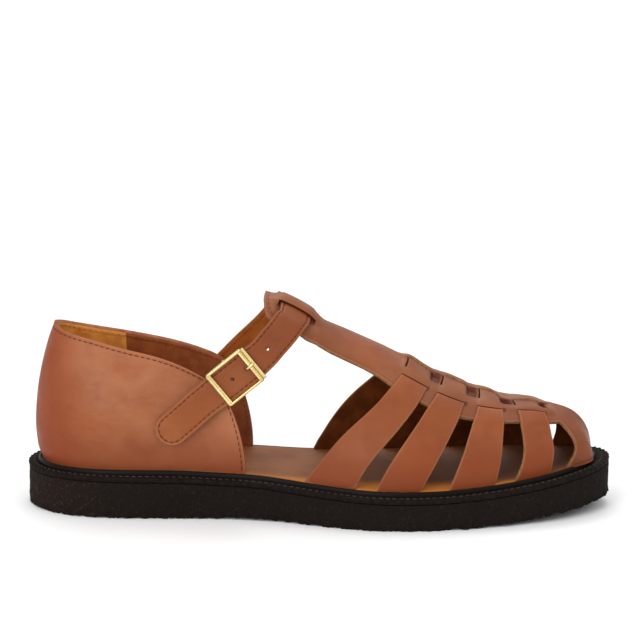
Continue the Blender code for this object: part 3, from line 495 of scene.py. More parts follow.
def leather_sheet(name, grid, centre, thickness, materials, cells=None, edge_round=0.35 * MM, **marks):
    """Closed leather piece from a grid of points on its outer face.

    Cells that are False are cut away.  The sheet gets its thickness towards the centre, its cut
    edges are softened, and edge_mm holds the distance to the nearest cut edge.  The marks dark,
    slit and shade hold a value for each point of the grid: how much painted shade darkens the cut
    edges and flesh side near it, whether it lies on a slit, which gets no crease, and how much
    painted shade darkens the grain side."""
    rows, columns = grid.shape[:2]
    index = np.arange(rows * columns).reshape(rows, columns)
    quads = np.stack([index[:-1, :-1], index[:-1, 1:], index[1:, 1:], index[1:, :-1]], -1)
    quads = quads.reshape(-1, 4) if cells is None else quads[cells]
    mesh = bpy.data.meshes.new(name)
    mesh.from_pydata(grid.reshape(-1, 3).tolist(), [], quads.tolist())
    for key in ("dark", "slit", "shade"):
        point_layer(mesh, key, marks.get(key, np.zeros((rows, columns))))
    shape = bmesh.new()
    shape.from_mesh(mesh)
    loose = [v for v in shape.verts if not v.link_faces]
    bmesh.ops.delete(shape, geom=loose, context="VERTS")
    bmesh.ops.remove_doubles(shape, verts=shape.verts, dist=MERGE_DISTANCE)
    bmesh.ops.recalc_face_normals(shape, faces=shape.faces)
    shape.to_mesh(mesh)
    shape.free()
    total = sum(f.normal.dot(Vector(centre) - f.center) * f.area for f in mesh.polygons)
    if total > 0.0:
        mesh.flip_normals()
    point_layer(mesh, "edge_mm", edge_distance(mesh))
    mesh.shade_smooth()
    obj = link(name, mesh, materials)
    wall = obj.modifiers.new("thickness", "SOLIDIFY")
    wall.thickness = thickness
    wall.offset = -1.0
    wall.use_even_offset = False
    wall.material_offset = 1
    wall.material_offset_rim = 2
    soft = obj.modifiers.new("cut edge", "BEVEL")
    soft.width = edge_round
    soft.segments = 2
    soft.limit_method = "ANGLE"
    soft.angle_limit = math.radians(55.0)
    soft.use_clamp_overlap = True
    baked(obj)
    obj.data.set_sharp_from_angle(angle=math.radians(60.0))
    return obj


def ring_faces(rings, sides, ends="capped"):
    """Faces between rings of vertices; the two ends are capped, open or joined in a hoop."""
    index = np.arange(rings * sides).reshape(rings, sides)
    after = np.roll(index, -1, axis=1)
    faces = np.stack([index, after, np.roll(after, -1, axis=0), np.roll(index, -1, axis=0)], -1)
    faces = (faces if ends == "joined" else faces[:-1]).reshape(-1, 4).tolist()
    if ends == "capped":
        faces += [index[0, ::-1].tolist(), index[-1].tolist()]
    return faces


def tube_points(path, radius, sides=12, caps=True):
    """Vertices and faces of a round bar along a path, with rounded ends."""
    path = np.asarray(path, float)
    thick = np.full(len(path), radius)
    if caps:
        lift = np.array([0.0, 0.6, 0.92])
        tight = np.sqrt(1.0 - lift ** 2)
        head = path[0] + np.outer(lift[::-1], unit(path[0] - path[1])) * radius * END_ROUND
        tail = path[-1] + np.outer(lift, unit(path[-1] - path[-2])) * radius * END_ROUND
        path = np.vstack([head, path[1:-1], tail])
        thick = np.concatenate([radius * tight[::-1], thick[1:-1], radius * tight])
    along = unit(np.gradient(path, axis=0))
    side = np.cross(along[0], (0.0, 0.0, 1.0))
    if np.linalg.norm(side) < 0.1:
        side = np.cross(along[0], (0.0, 1.0, 0.0))
    angle = np.linspace(0.0, 2.0 * math.pi, sides, endpoint=False)
    rings = []
    for spot, way, size in zip(path, along, thick):
        side = unit(side - way * (side @ way))
        up = np.cross(way, side)
        rings.append(spot + size * (np.outer(np.cos(angle), side) + np.outer(np.sin(angle), up)))
    return np.concatenate(rings), ring_faces(len(path), sides)


def shells(name, parts, materials, angle=35.0, **layers):
    """One mesh from several closed shells, each (vertices, faces); edges over the angle are sharp."""
    verts = []
    faces = []
    start = 0
    for points, rings in parts:
        verts.append(np.asarray(points))
        faces += [tuple(start + i for i in face) for face in rings]
        start += len(points)
    mesh = bpy.data.meshes.new(name)
    mesh.from_pydata(np.concatenate(verts).tolist(), [], faces)
    for key, values in layers.items():
        point_layer(mesh, key, values)
    shape = bmesh.new()
    shape.from_mesh(mesh)
    bmesh.ops.recalc_face_normals(shape, faces=shape.faces)
    shape.to_mesh(mesh)
    shape.free()
    mesh.shade_smooth()
    mesh.set_sharp_from_angle(angle=math.radians(angle))
    return link(name, mesh, materials)


def thread_row(name, path, normals, thread, sink, slant=0.0):
    """Row of stitches along a path: each is a long bead, partly sunk in the leather.

    Stitch k has its middle k + 1/2 pitches along; it swells to its middle and its ends dive."""
    pitch, length, radius, material, slot = thread
    path = np.asarray(path, float)
    normals = np.asarray(normals, float)
    run = run_along(path)
    count = max(int(run[-1] // pitch), 1)
    pitch = run[-1] / count
    angle = np.linspace(0.0, 2.0 * math.pi, BEAD_SIDES, endpoint=False)
    along_bead = np.linspace(-1.0, 1.0, len(BEAD_SWELL))
    lift = radius * (1.0 - 2.0 * sink - BEAD_DIVE * along_bead ** 2)
    thick = radius * np.array(BEAD_SWELL)[:, None, None]
    faces = ring_faces(len(BEAD_SWELL), BEAD_SIDES)
    parts = []
    for k in range(count):
        middle = (k + 0.5) * pitch
        spots = middle + 0.5 * length * along_bead
        core = np.stack([np.interp(spots, run, path[:, a]) for a in range(3)], -1)
        up = unit(np.array([np.interp(middle, run, normals[:, a]) for a in range(3)]))
        side = unit(np.cross(unit(core[-1] - core[0]), up))
        core = core + np.outer(lift, up) + np.outer(slant * along_bead, side)
        ring = np.outer(np.cos(angle), side) + np.outer(np.sin(angle), up)
        parts.append(((core[:, None] + thick * ring).reshape(-1, 3), faces))
    return joined_to_frame(shells(name, parts, [material], 80.0), slot)


# Materials
def linear(colour):
    """Linear colour values of an sRGB hex colour."""
    parts = [int(colour[i:i + 2], 16) / 255.0 for i in (1, 3, 5)]
    return tuple(c / 12.92 if c <= 0.04045 else ((c + 0.055) / 1.055) ** 2.4 for c in parts) + (1.0,)


def new_material(name):
    material = bpy.data.materials.new(name)
    material.use_nodes = True
    return material


def connect(material, socket, value):
    """Feeds a socket from another one, or sets it to a number or to an sRGB hex colour."""
    if isinstance(value, bpy.types.NodeSocket):
        material.node_tree.links.new(value, socket)
    else:
        socket.default_value = linear(value) if isinstance(value, str) else value


def node(material, kind, values=None, **settings):
    """One shader node; values holds numbers, colours or the output sockets that feed its inputs."""
    made = material.node_tree.nodes.new(kind)
    for key, value in settings.items():
        setattr(made, key, value)
    for key, value in (values or {}).items():
        connect(material, made.inputs[key], value)
    return made


# What a noise pattern has where it says no more: size in mm, detail, roughness, stretch along X, Y and Z
NOISE = (1.0, 3.0, 0.55, None)


def pattern(material, source):
    """Socket of a source in the sandal's own space.

    A source is an axis, read in metres, the name of an attribute, a socket that is passed on,
    or a tuple for noise, which starts with the size of its features in millimetres."""
    if isinstance(source, bpy.types.NodeSocket):
        return source
    place = node(material, "ShaderNodeTexCoord").outputs["Object"]
    if isinstance(source, tuple):
        size_mm, detail, rough, stretch = source + NOISE[len(source):]
        if stretch:
            place = node(material, "ShaderNodeMapping", {"Vector": place, "Scale": stretch}).outputs[0]
        values = {"Vector": place, "Scale": 1000.0 / size_mm, "Detail": detail, "Roughness": rough}
        return node(material, "ShaderNodeTexNoise", values).outputs["Fac"]
    if source in ("X", "Y", "Z"):
        return node(material, "ShaderNodeSeparateXYZ", {"Vector": place}).outputs[source]
    return node(material, "ShaderNodeAttribute", attribute_name=source).outputs["Fac"]


def fade(material, source, low, high, at_low=0.0, at_high=1.0):
    """Smooth change of a value where a pattern goes from low to high."""
    values = {"Value": pattern(material, source), "From Min": low, "From Max": high,
              "To Min": at_low, "To Max": at_high}
    return node(material, "ShaderNodeMapRange", values, interpolation_type="SMOOTHSTEP").outputs["Result"]


def layered(material, colour, layers):
    """Colours laid over the first one after another, each (share, colour)."""
    for share, tone in layers:
        values = {0: pattern(material, share), 6: colour, 7: tone}
        colour = node(material, "ShaderNodeMix", values, data_type="RGBA").outputs[2]
    return colour


def finished(material, values, heights):
    """The material with its shader fed and its bumps chained, each (source, depth in mm, strength)."""
    for source, depth, strength in heights:
        bump = {"Height": pattern(material, source), "Distance": depth * MM, "Strength": strength}
        if "Normal" in values:
            bump["Normal"] = values["Normal"]
        values["Normal"] = node(material, "ShaderNodeBump", bump).outputs["Normal"]
    shader = material.node_tree.nodes["Principled BSDF"]
    for key, value in values.items():
        connect(material, shader.inputs[key], value)
    return material


def tan_leather(name, lit, mid, deep, crease=None, foot=True, darker=None):
    """Waxed full-grain cowhide: drum dyed tan, darker towards the bottom by the welt, with painted shade
    where the shade mark is set.

    crease is the distance in millimetres from the cut edge of the line pressed along it; foot
    says that the leather goes down to the heel's foot, where it darkens; darker is an axis, the
    place where the leather starts to darken along it and where it ends."""
    material = new_material(name)
    layers = [
        (fade(material, (38.0, 2.0), 0.38, 0.64), lit),
        (fade(material, (13.0, 3.0, 0.5), 0.47, 0.68, 0.0, 0.28), deep),
        (fade(material, (21.0, 3.0, 0.5), 0.50, 0.70, 0.0, 0.35), "#974A1F"),
        (fade(material, (4.0, 5.0, 0.65, (0.6, 0.6, 1.5)), 0.35, 0.7, 0.0, 0.25), lit),
    ]
    if foot:
        layers += [(fade(material, "Z", 0.022, 0.050, 0.78, 0.0), "#7A3410"),
                   (fade(material, "X", -0.033, 0.002, 1.0, 0.0), "#80330A")]
    if darker:
        axis, start, stop = darker
        layers.append((fade(material, axis, start, stop, 0.0, 0.6), deep))
    # The shade mark lays painted shade in the weave's cuts and recesses, at the slits' corners and on the
    # straps below the slits
    layers += [("shade", "#54200E"), (fade(material, "edge_mm", 0.15, 1.00, 0.35, 0.0), "#A26A44")]
    heights = [((1.1,), 0.09, 0.30), ((0.42, 2.0), 0.05, 0.25), ((9.0,), 0.5, 0.20)]
    if crease:
        near = fade(material, "edge_mm", crease - 0.35, crease)
        beyond = fade(material, "edge_mm", crease, crease + 0.45)
        groove = node(material, "ShaderNodeMath", {0: near, 1: beyond}, operation="SUBTRACT").outputs[0]
        faint = node(material, "ShaderNodeMath", {0: groove, 1: 0.3}, operation="MULTIPLY").outputs[0]
        level = node(material, "ShaderNodeMath", {0: 1.0, 1: groove}, operation="SUBTRACT").outputs[0]
        layers.append((faint, "#5C240E"))
        heights.append((level, 0.28, 0.5))
    return finished(material, {
        "Base Color": layered(material, mid, layers),
        "Roughness": fade(material, (6.0, 4.0), 0.3, 0.7, 0.42, 0.58),
        "Specular IOR Level": 0.22, "Coat Weight": 0.04, "Coat Roughness": 0.35,
    }, heights)


def plain_leather(name, colour, other, rough=0.7, size=7.0, grain=0.9):
    """Flesh side or cut edge of cowhide: flat, with a short nap and soft tone changes, and painted shade
    where the dark mark is set.
    """
    material = new_material(name)
    # The dark mark paints shade on the cut edges and flesh side along the slits
    tones = [(fade(material, (size, 4.0), 0.3, 0.7), other), ("dark", "#45200F")]
    return finished(material, {
        "Base Color": layered(material, colour, tones), "Roughness": rough, "Specular IOR Level": 0.12,
    }, [((grain,), 0.12, 0.4)])


def lining_leather(name):
    """Pigskin heel lining: ochre round the heel, dark brown ahead of its seam."""
    material = new_material(name)
    tone = fade(material, (6.0, 4.0), 0.3, 0.7)
    front = layered(material, "#7E3A12", [(tone, "#96501F")])
    colour = layered(material, "#CC7F2E", [(tone, "#E79F4A"), (fade(material, "X", 0.0076, 0.0080), front)])
    step = fade(material, "X", 0.0076, 0.0080, 1.0, 0.0)
    return finished(material, {"Base Color": colour, "Roughness": 0.62},
                    [((0.8,), 0.10, 0.4), (step, 0.5, 0.6)])


def footbed_leather(name):
    """Vegetable-tanned insole: natural, with painted shade darkening it towards the front, under the
    forepart, and orange along its outer edge, its tan rim with a painted glow of the light that comes in
    through the openings.
    """
    material = new_material(name)
    colour = layered(material, "#905A33", [
        (fade(material, (16.0, 4.0), 0.3, 0.7), "#7E4A27"),
        # Painted shade: darker towards the front, under the forepart
        (fade(material, "X", 0.075, 0.120), "#77482A"),
        # Orange outer rim: the tan edge, with a painted glow of the light coming in through the openings
        (fade(material, "Y", -0.021, -0.033), "#C4752A"),
    ])
    return finished(material, {"Base Color": colour, "Roughness": 0.6, "Specular IOR Level": 0.15},
                    [((0.9,), 0.08, 0.35)])


def crepe_rubber(name):
    """Natural crepe, dyed dark: sheeted rubber with open pores, buffed at the side.

    The pores lie about 1.6 mm apart and show in patches; the heel is paler, with light specks."""
    material = new_material(name)
    place = node(material, "ShaderNodeTexCoord").outputs["Object"]
    pores = node(material, "ShaderNodeTexVoronoi", {"Vector": place, "Scale": 620.0}).outputs["Distance"]
    values = {0: fade(material, pores, 0.08, 0.34, 1.0, 0.0), 1: fade(material, (2.4, 3.0, 0.6), 0.50, 0.60)}
    hole = node(material, "ShaderNodeMath", values, operation="MULTIPLY").outputs[0]
    speck = fade(material, (1.3, 4.0, 0.7), 0.54, 0.72)
    values = {0: fade(material, "X", -0.045, 0.030, 0.6, 0.0), 1: speck}
    heel_speck = node(material, "ShaderNodeMath", values, operation="MULTIPLY").outputs[0]
    colour = layered(material, "#18110E", [
        (speck, "#2E221B"),
        (fade(material, (10.0,), 0.42, 0.66, 0.0, 0.6), "#15110D"),
        (heel_speck, "#5A4534"),
        (fade(material, "X", -0.045, 0.030, 0.3, 0.0), "#2C201A"),
        (hole, "#070504"),
    ])
    return finished(material, {"Base Color": colour, "Roughness": 0.85, "Specular IOR Level": 0.10}, [
        (fade(material, pores, 0.08, 0.34), 0.30, 0.5), ((0.8, 3.0, 0.7), 0.35, 0.7), ((3.2,), 0.6, 0.4)])


def welt_leather(name):
    """Storm welt: dyed split leather, waxed glossy on the bead and matt on the ridged flat."""
    material = new_material(name)
    flat = layered(material, "#100B09", [(fade(material, (2.0, 4.0), 0.35, 0.7), "#1D1410")])
    return finished(material, {
        "Base Color": layered(material, "#100A07", [("flat", flat)]),
        "Roughness": fade(material, "flat", 0.0, 1.0, 0.42, 0.80), "Specular IOR Level": 0.10,
    }, [((0.8,), 0.12, 0.4), ((4.0, 2.0), 0.3, 0.3)])


def brass_metal(name, colour):
    """Cast brass, polished and lacquered, with faint polishing scratches."""
    material = new_material(name)
    return finished(material, {
        "Base Color": layered(material, colour, [(fade(material, (4.0,), 0.3, 0.7), "#E6D29B")]),
        "Roughness": fade(material, (1.5, 4.0), 0.3, 0.7, 0.22, 0.34), "Metallic": 1.0,
    }, [((2.2,), 0.05, 0.25)])


def waxed_thread(name, colour, other):
    """Twisted polyester thread, waxed."""
    material = new_material(name)
    tones = [(fade(material, (0.6, 2.0), 0.35, 0.65), other)]
    return finished(material, {
        "Base Color": layered(material, colour, tones), "Roughness": 0.75, "Specular IOR Level": 0.12,
    }, [((0.3, 2.0), 0.08, 0.5)])


def studio_paper(name):
    """Matt seamless paper, with hardly any change of tone."""
    material = new_material(name)
    tones = [(fade(material, (900.0, 1.0), 0.2, 0.8), (0.905, 0.905, 0.905, 1.0))]
    colour = layered(material, (0.895, 0.895, 0.895, 1.0), tones)
    return finished(material, {"Base Color": colour, "Roughness": 0.9, "Specular IOR Level": 0.1}, [])


def make_materials(settings):
    """Fills the table of materials; the four grain sides differ in tone, crease and dark ends."""
    toe = ("X", 0.205, 0.235)
    top = ("Z", 0.036, 0.080)
    MATERIALS.update({
        "leather": tan_leather("waxed_tan_cowhide", settings.leather_colour, "#915330", "#723010"),
        "edged": tan_leather("creased_tan_cowhide", "#885031", "#784123", "#68290E", 1.25, False, toe),
        "strap": tan_leather("tan_strap_cowhide", "#98582F", "#8A4920", "#6C2F10", None, False, top),
        "sides": tan_leather("side_strap_cowhide", "#8F4E26", "#82411C", "#6E2A08"),
        "inside": plain_leather("dark_flesh_side", "#50240A", "#6B3412"),
        "strap_inside": plain_leather("strap_flesh_side", "#8A4518", "#9C5622"),
        "raw": plain_leather("raw_cut_edge", "#9A7350", "#7A5034", 0.75, 2.0, 0.5),
        "burnished": plain_leather("burnished_cut_edge", "#9A5C3A", "#7E4224", 0.5, 3.0, 0.5),
        "lining": lining_leather("pigskin_lining"),
        "footbed": footbed_leather("vegetable_tanned_insole"),
        "crepe": crepe_rubber("dark_natural_crepe"),
        "welt": welt_leather("waxed_storm_welt"),
        "brass": brass_metal("polished_brass", settings.brass_colour),
        "thread": waxed_thread("brown_waxed_thread", settings.thread_colour, "#5E2A14"),
        "welt_thread": waxed_thread("welt_lock_thread", "#352A23", "#51443A"),
        "paper": studio_paper("studio_paper"),
    })


# Sole unit
# Section of the welt, round from its inner lower corner
# share of the margin, further out, height over the flat's top, share of the ridges up and out
BEAD_FACE = GAP + BEAD_WIDTH
WELT_SECTION = (
    (0.00, GAP, -WELT_THICKNESS, 0.0, 0.0),
    (1.00, -0.30 * MM, -WELT_THICKNESS, 0.0, 0.0),
    (1.00, 0.0, 0.30 * MM - WELT_THICKNESS, 0.0, 0.3),
    (1.00, 0.05 * MM, -1.00 * MM, 0.5, 0.7),
    (1.00, 0.0, -0.40 * MM, 0.7, 1.0),
    (1.00, -0.25 * MM, -0.05 * MM, 1.0, 0.8),
    (0.80, 0.0, 0.0, 1.0, 0.0),
    (0.62, 0.0, -0.12 * MM, 0.5, 0.0),
    (0.45, 0.0, 0.0, 0.8, 0.0),
    (0.00, BEAD_FACE + 0.55 * MM, -0.05 * MM, 0.5, 0.0),
    (0.00, BEAD_FACE + 0.10 * MM, -0.35 * MM, 0.0, 0.0),
    (0.00, BEAD_FACE - 0.02 * MM, 0.60 * MM, 0.0, 0.0),
    (0.00, BEAD_FACE - 0.20 * MM, 0.72 * BEAD_HEIGHT, 0.0, 0.0),
    (0.00, BEAD_FACE - 0.55 * MM, 0.93 * BEAD_HEIGHT, 0.0, 0.0),
    (0.00, BEAD_FACE - 0.95 * MM, BEAD_HEIGHT, 0.0, 0.0),
    (0.00, GAP + 0.25 * MM, 0.90 * BEAD_HEIGHT, 0.0, 0.0),
    (0.00, GAP, 0.60 * BEAD_HEIGHT, 0.0, 0.0),
)
FLAT_ROWS = slice(1, 10)
RIDGE_ROW = 6
CHANNEL_ROW = 7
COLUMNS_PER_STITCH = 10


def welt_row(row, point, normal):
    """One corner of the welt's section, carried round the outline."""
    part, out, rise = WELT_SECTION[row][:3]
    flat = point + normal * (part * welt_margin(point[:, 0]) + out)[:, None]
    return np.column_stack([flat, welt_top(flat[:, 0]) + rise])


def build_welt():
    """Storm welt: flat strip with a raised, rounded bead against the upper.

    The ridges between its stitches follow the fourth power of a cosine round the outline."""
    count = int(RING_LENGTH // WELT_PITCH) * COLUMNS_PER_STITCH
    point, normal = outline_at(np.linspace(0.0, 1.0, count, endpoint=False))
    wide = np.column_stack([normal, np.zeros(count)])
    grid = np.array([welt_row(row, point, normal) for row in range(len(WELT_SECTION))])
    wheel = np.abs(np.cos(np.arange(count) * math.pi / COLUMNS_PER_STITCH)) ** 4
    ridge = RIDGE_HEIGHT * wheel * (0.8 + 0.3 * ripples(grid[RIDGE_ROW], 25.0 * MM, 21))
    for row, (_, _, _, up, out) in enumerate(WELT_SECTION):
        if up:
            grid[row, :, 2] += ridge * up + 0.08 * MM * ripples(grid[row], 9.0 * MM, 11)
        grid[row] += wide * (ridge * out)[:, None]
    flat = np.zeros(grid.shape[:2])
    flat[FLAT_ROWS] = 1.0
    faces = ring_faces(len(grid), count, "joined")
    obj = shells("storm_welt", [(grid.reshape(-1, 3), faces)], ["welt"], 50.0, flat=flat)
    return joined_to_frame(obj, "welt", "welt")


def build_welt_stitches():
    """Lock stitches that lie in the channel along the welt's flat, just clear of its floor."""
    point, normal = outline_at(np.linspace(0.0, 1.0, 1400))
    path = welt_row(CHANNEL_ROW, point, normal) + (0.0, 0.0, 0.07 * MM)
    up = np.tile((0.0, 0.0, 1.0), (len(path), 1))
    return thread_row("welt_stitches", path, up, WELT_THREAD, 0.25, 0.18 * MM)


# Roughness of the crepe's side: depth and wavelength in mm, seed; then the same of its torn lower edge
CREPE_PITS = ((0.13, 1.6, 3), (0.16, 4.0, 4), (0.10, 11.0, 5))
CREPE_TEARS = ((1.0, 2.2, 8), (0.8, 6.0, 9))
# Points of each ring along the outer side
CREPE_COLUMNS = 620


def build_outsole():
    """Crepe bottom: its side is pitted by ripples of three sizes, its lower edge is torn rough.

    Rings carried round the outline, closer together towards the heel's back and the toe; two
    fans of faces across the foot close the bottom and the top."""
    even = np.linspace(0.0, 1.0, CREPE_COLUMNS + 1)
    share = 0.75 * even + 0.25 * (0.5 - 0.5 * np.cos(math.pi * even))
    inner = (1.0 - share * (1.0 - TOE_TURN))[1:-1][::-1]
    point, normal = outline_at(np.concatenate([share * TOE_TURN, inner]))
    around = len(point)
    wide = np.column_stack([normal, np.zeros(around)])
    # How far out from the welt's edge, and share of the height
    levels = [(-0.55 * SOLE_EDGE_ROUND, 0.0), (-0.12 * SOLE_EDGE_ROUND, 0.015)]
    levels += [(-0.02 * SOLE_EDGE_ROUND, 0.07)] + [(0.0, part) for part in np.linspace(0.16, 0.985, 14)]
    levels += [(-0.35 * MM, 1.0)]
    rings = []
    for k, (out, part) in enumerate(levels):
        flat = point + normal * (welt_margin(point[:, 0]) + out)[:, None]
        low = sole_bottom(flat[:, 0])
        ring = np.column_stack([flat, low + (outsole_top(flat[:, 0]) - low) * part])
        if 0 < k < len(levels) - 1:
            rough = sum(depth * ripples(ring, size * MM, seed) for depth, size, seed in CREPE_PITS)
            rough *= 1.0 + 2.5 * max(0.0, 1.0 - part / 0.20)
            ring += wide * (rough - 0.12)[:, None] * MM
        if k < 3:
            torn = sum(depth * np.abs(ripples(ring, size * MM, seed)) for depth, size, seed in CREPE_TEARS)
            lift = (torn - 0.40) * 0.95 * MM * (1.0 - 0.25 * k)
            ring[:, 2] = np.maximum(ring[:, 2] + lift, 0.0)
        rings.append(ring)
    faces = ring_faces(len(levels), around, "open")
    for base, upward in ((0, False), ((len(levels) - 1) * around, True)):
        for a in range(CREPE_COLUMNS):
            b, c, d = a + 1, (around - a - 1) % around, (around - a) % around
            corners = [a, b, c] if a == 0 else [a, b, d] if b == CREPE_COLUMNS else [a, b, c, d]
            corners = [base + q for q in corners]
            faces.append(tuple(corners if upward else corners[::-1]))
    obj = shells("crepe_outsole", [(np.concatenate(rings), faces)], ["crepe"], 60.0)
    return joined_to_frame(obj, "crepe", "outsole")


# Forepart
# Points inside the shoe, from which a piece's outer side is told
FOREPART_CENTRE = (0.15, 0.0, -0.3)
QUARTER_CENTRE = (0.01, 0.0, 0.05)
ANKLE_CENTRE = (0.06, 0.0, 0.03)


def crown_points(ridge_x, shift, base_y, down, foot=0.0):
    """Superellipse sections of the last: across by the sine, up by a power of the cosine.

    foot is how deep the leather's foot is tucked in below the insole's face."""
    x = ridge_x + shift
    share = share_of(x)
    ridge = BALL_WIDTH * table_value(CROWN_SECTIONS, 2, share_of(ridge_x))
    full = table_value(CROWN_SECTIONS, 3, share)
    rise = INSTEP_HEIGHT * table_value(CROWN_SECTIONS, 1, share)
    angle = np.abs(down) * math.pi / 2.0
    y = ridge + np.sin(angle) * (base_y - ridge)
    cosine = np.clip(np.cos(angle), 0.0, 1.0)
    z = insole_top(x) + GAP - foot * np.abs(down) ** 6 + rise * cosine ** (2.0 / full)
    return np.stack(np.broadcast_arrays(x, y, z), -1)


def bar_points(along, down):
    """T-bar surface at stations along the ridge; down is negative on the inner side.

    A row sweeps back by the square of how far down it is."""
    ridge_x = station(along)
    ridge = BALL_WIDTH * table_value(CROWN_SECTIONS, 2, along)
    reach = table_value(BAR_ROWS, 1, along) * BALL_WIDTH
    sweep = table_value(BAR_ROWS, 3, along) * LAST_LENGTH
    base_y = np.where(down < 0.0, ridge + reach, ridge - reach)
    return crown_points(ridge_x, -sweep * down ** 2, base_y, down)


def strap_points(values, toe, down):
    """Surface of the straps' rows: values are along, two bends, two turns and two foot sweeps.

    A row whose foot lies f ahead of its place on the ridge is (f - bend) d ** 2 + bend d ** 4
    ahead at depth d, and its foot sweeps by d ** 60.  At the toe it follows a sine instead.
    Near the ridge the bands' ends lie back, further down on the inner side."""
    along, bend, turn, inner_bend, inner_turn, foot, inner_foot = values
    ridge_x = station(along)
    inner = down < 0.0
    base, _ = outline_at(np.where(inner, 1.0 - inner_turn, turn))
    curve = np.where(inner, inner_bend, bend) * LAST_LENGTH
    reach = base[..., 0] - ridge_x - curve
    depth = np.abs(down)
    shift = reach * depth ** 2 + curve * depth ** 4
    shift = shift + np.where(inner, inner_foot, foot) * LAST_LENGTH * depth ** 60
    shift = shift + (reach * np.sin(depth * math.pi / 2.0) - shift) * toe
    outer_back = np.clip(1.0 - depth / 0.3, 0.0, 1.0) ** 2
    inner_back = np.clip(1.0 - depth, 0.0, 1.0) * (1.0 + 4.0 * depth * (1.0 - depth))
    shift = shift - RIDGE_BACK * np.where(inner, inner_back, outer_back) * (1.0 - toe)
    return crown_points(ridge_x, shift, base[..., 1], down, FOOT_TUCK + GAP)


def edge_values(along):
    """A row between the straps' edges, from the columns of STRAP_EDGES."""
    return tuple([along] + [table_value(STRAP_EDGES, k, along) for k in range(1, 7)])


def toe_values(part):
    """Values of the rows that fan out from the toe band's back edge to the toe's centre."""
    start, bend, turn, inner_bend, inner_turn = STRAP_EDGES[-1][:5]
    ease = 1.0 - (1.0 - part) ** 2
    return (start + (TOE_POLE - start) * ease, bend * (1.0 - ease), turn + (TOE_TURN - turn) * part,
            inner_bend * (1.0 - ease), inner_turn + (1.0 - TOE_TURN - inner_turn) * part, 0.0, 0.0)


def strap_part(along):
    """Which strap covers a station, and how far across its width, or (-1, 0)."""
    for k in range(STRAPS):
        back = STRAP_EDGES[2 * k][0]
        front = STRAP_EDGES[2 * k + 1][0]
        if back - 1e-6 <= along <= front + 1e-6:
            part = (along - back) / (front - back)
            return k, float(np.round(np.clip(part, 0.0, 1.0), 5))
    return -1, 0.0


def spine_rows():
    """Stations of the spine's rows: T-bar, weave, then the toe fan as parts beyond 1."""
    bar_end = BAR_ROWS[-1][0]
    weave = STRAP_EDGES[0][0]
    toe = STRAP_EDGES[-1][0]
    rows = list(BAR_ROWS[0][0] + 0.012 * np.linspace(0.0, 1.0, 9) ** 1.6)
    rows += list(np.linspace(rows[-1], bar_end, 62)[1:])
    rows += list(np.linspace(bar_end, weave, 9)[1:])
    for k in range(STRAPS):
        back = STRAP_EDGES[2 * k][0]
        front = STRAP_EDGES[2 * k + 1][0]
        after = STRAP_EDGES[2 * k + 2][0] if k < STRAPS - 1 else toe
        across = 0.5 - 0.5 * np.cos(np.linspace(0.0, math.pi, 19))
        across = 0.6 * across + 0.4 * np.linspace(0.0, 1.0, 19)
        rows += list(back + (front - back) * across[1:])
        rows += list(np.linspace(front, after, 5)[1:])
    return np.array(rows), np.linspace(0.0, 1.0, 30)[1:]


def spine_columns(edge, centre, weave):
    """Signed places down the section, inner foot to outer foot, for one row."""
    across = [a + (b - a) * weave for a, b in COLUMNS]
    below = list(np.linspace(0.0, 1.0, FOOT_COLUMNS + 1)[1:] ** 0.9)
    outer = [centre + (edge - centre) * a for a in across] + [edge + (1.0 - edge) * v for v in below]
    inner = [centre - (edge + centre) * a for a in across[1:]] + [-edge - (1.0 - edge) * v for v in below]
    return np.array(inner[::-1] + outer)


def spine_surface(along, count):
    """Points of one row of the spine on the last; the T-bar's sections blend into the weave's."""
    bar_end = BAR_ROWS[-1][0]
    weave_start = STRAP_EDGES[0][0]
    blend = float(smooth_step((along - bar_end) / (weave_start - bar_end)))
    bar_at = min(along, bar_end)
    reach = math.asin(float(table_value(BAR_ROWS, 2, bar_at) / table_value(BAR_ROWS, 1, bar_at)))
    edge = reach * 2.0 / math.pi * (1.0 - blend) + SPINE_EDGE * blend
    places = spine_columns(edge, SPINE_CENTRE * blend, blend)
    here = np.full(count, float(along))
    bar = bar_points(np.minimum(here, bar_end), places)
    if blend == 0.0:
        return bar
    return bar + (strap_points(edge_values(np.maximum(here, weave_start)), 0.0, places) - bar) * blend


def spine_grid():
    """Points of the spine, the cells that are left of it, what each row is, and its middle column."""
    stations, parts = spine_rows()
    bar_end = BAR_ROWS[-1][0]
    half = len(COLUMNS) - 1
    middle = half + FOOT_COLUMNS
    count = 2 * middle + 1
    rows = []
    info = []
    for along in stations:
        rows.append(spine_surface(along, count))
        strap, part = strap_part(along)
        hump = float(table_value(BAR_ROWS, 4, along)) if along < bar_end else 0.0
        info.append({"along": along, "strap": strap, "part": part, "toe": False, "hump": hump})
    for part in parts:
        places = spine_columns(SPINE_EDGE, SPINE_CENTRE * (1.0 - part) ** 2, 1.0)
        values = [np.full(count, float(v)) for v in toe_values(part)]
        rows.append(strap_points(values, part, places))
        info.append({"along": 1.0, "strap": -1, "part": part, "toe": True, "hump": 0.0})
    rise = np.array([spine_rise(row, np.arange(count) - middle) for row in info])
    grid = np.array(rows)
    grid = grid + outward(grid, FOREPART_CENTRE) * rise[..., None]
    cells = np.ones((len(grid) - 1, count - 1), bool)
    slits = [middle + SLIT_COLUMN, middle - SLIT_COLUMN - 1]
    for r, (here, ahead) in enumerate(zip(info, info[1:])):
        if not ahead["toe"]:
            cells[r, :FOOT_COLUMNS] = False
            cells[r, middle + half:] = False
        if here["hump"] > 0.5 and ahead["hump"] > 0.5:
            cells[r, slits] = False
        if here["strap"] >= 0 and ahead["strap"] == here["strap"]:
            if here["part"] > 0.005 and ahead["part"] < 0.995:
                cells[r, slits] = False
            cells[r, middle - 1:middle + 1] = False
            if here["part"] < 0.03:
                cells[r, middle:middle + CUT_COLUMN] = False
    return grid, cells, info, middle


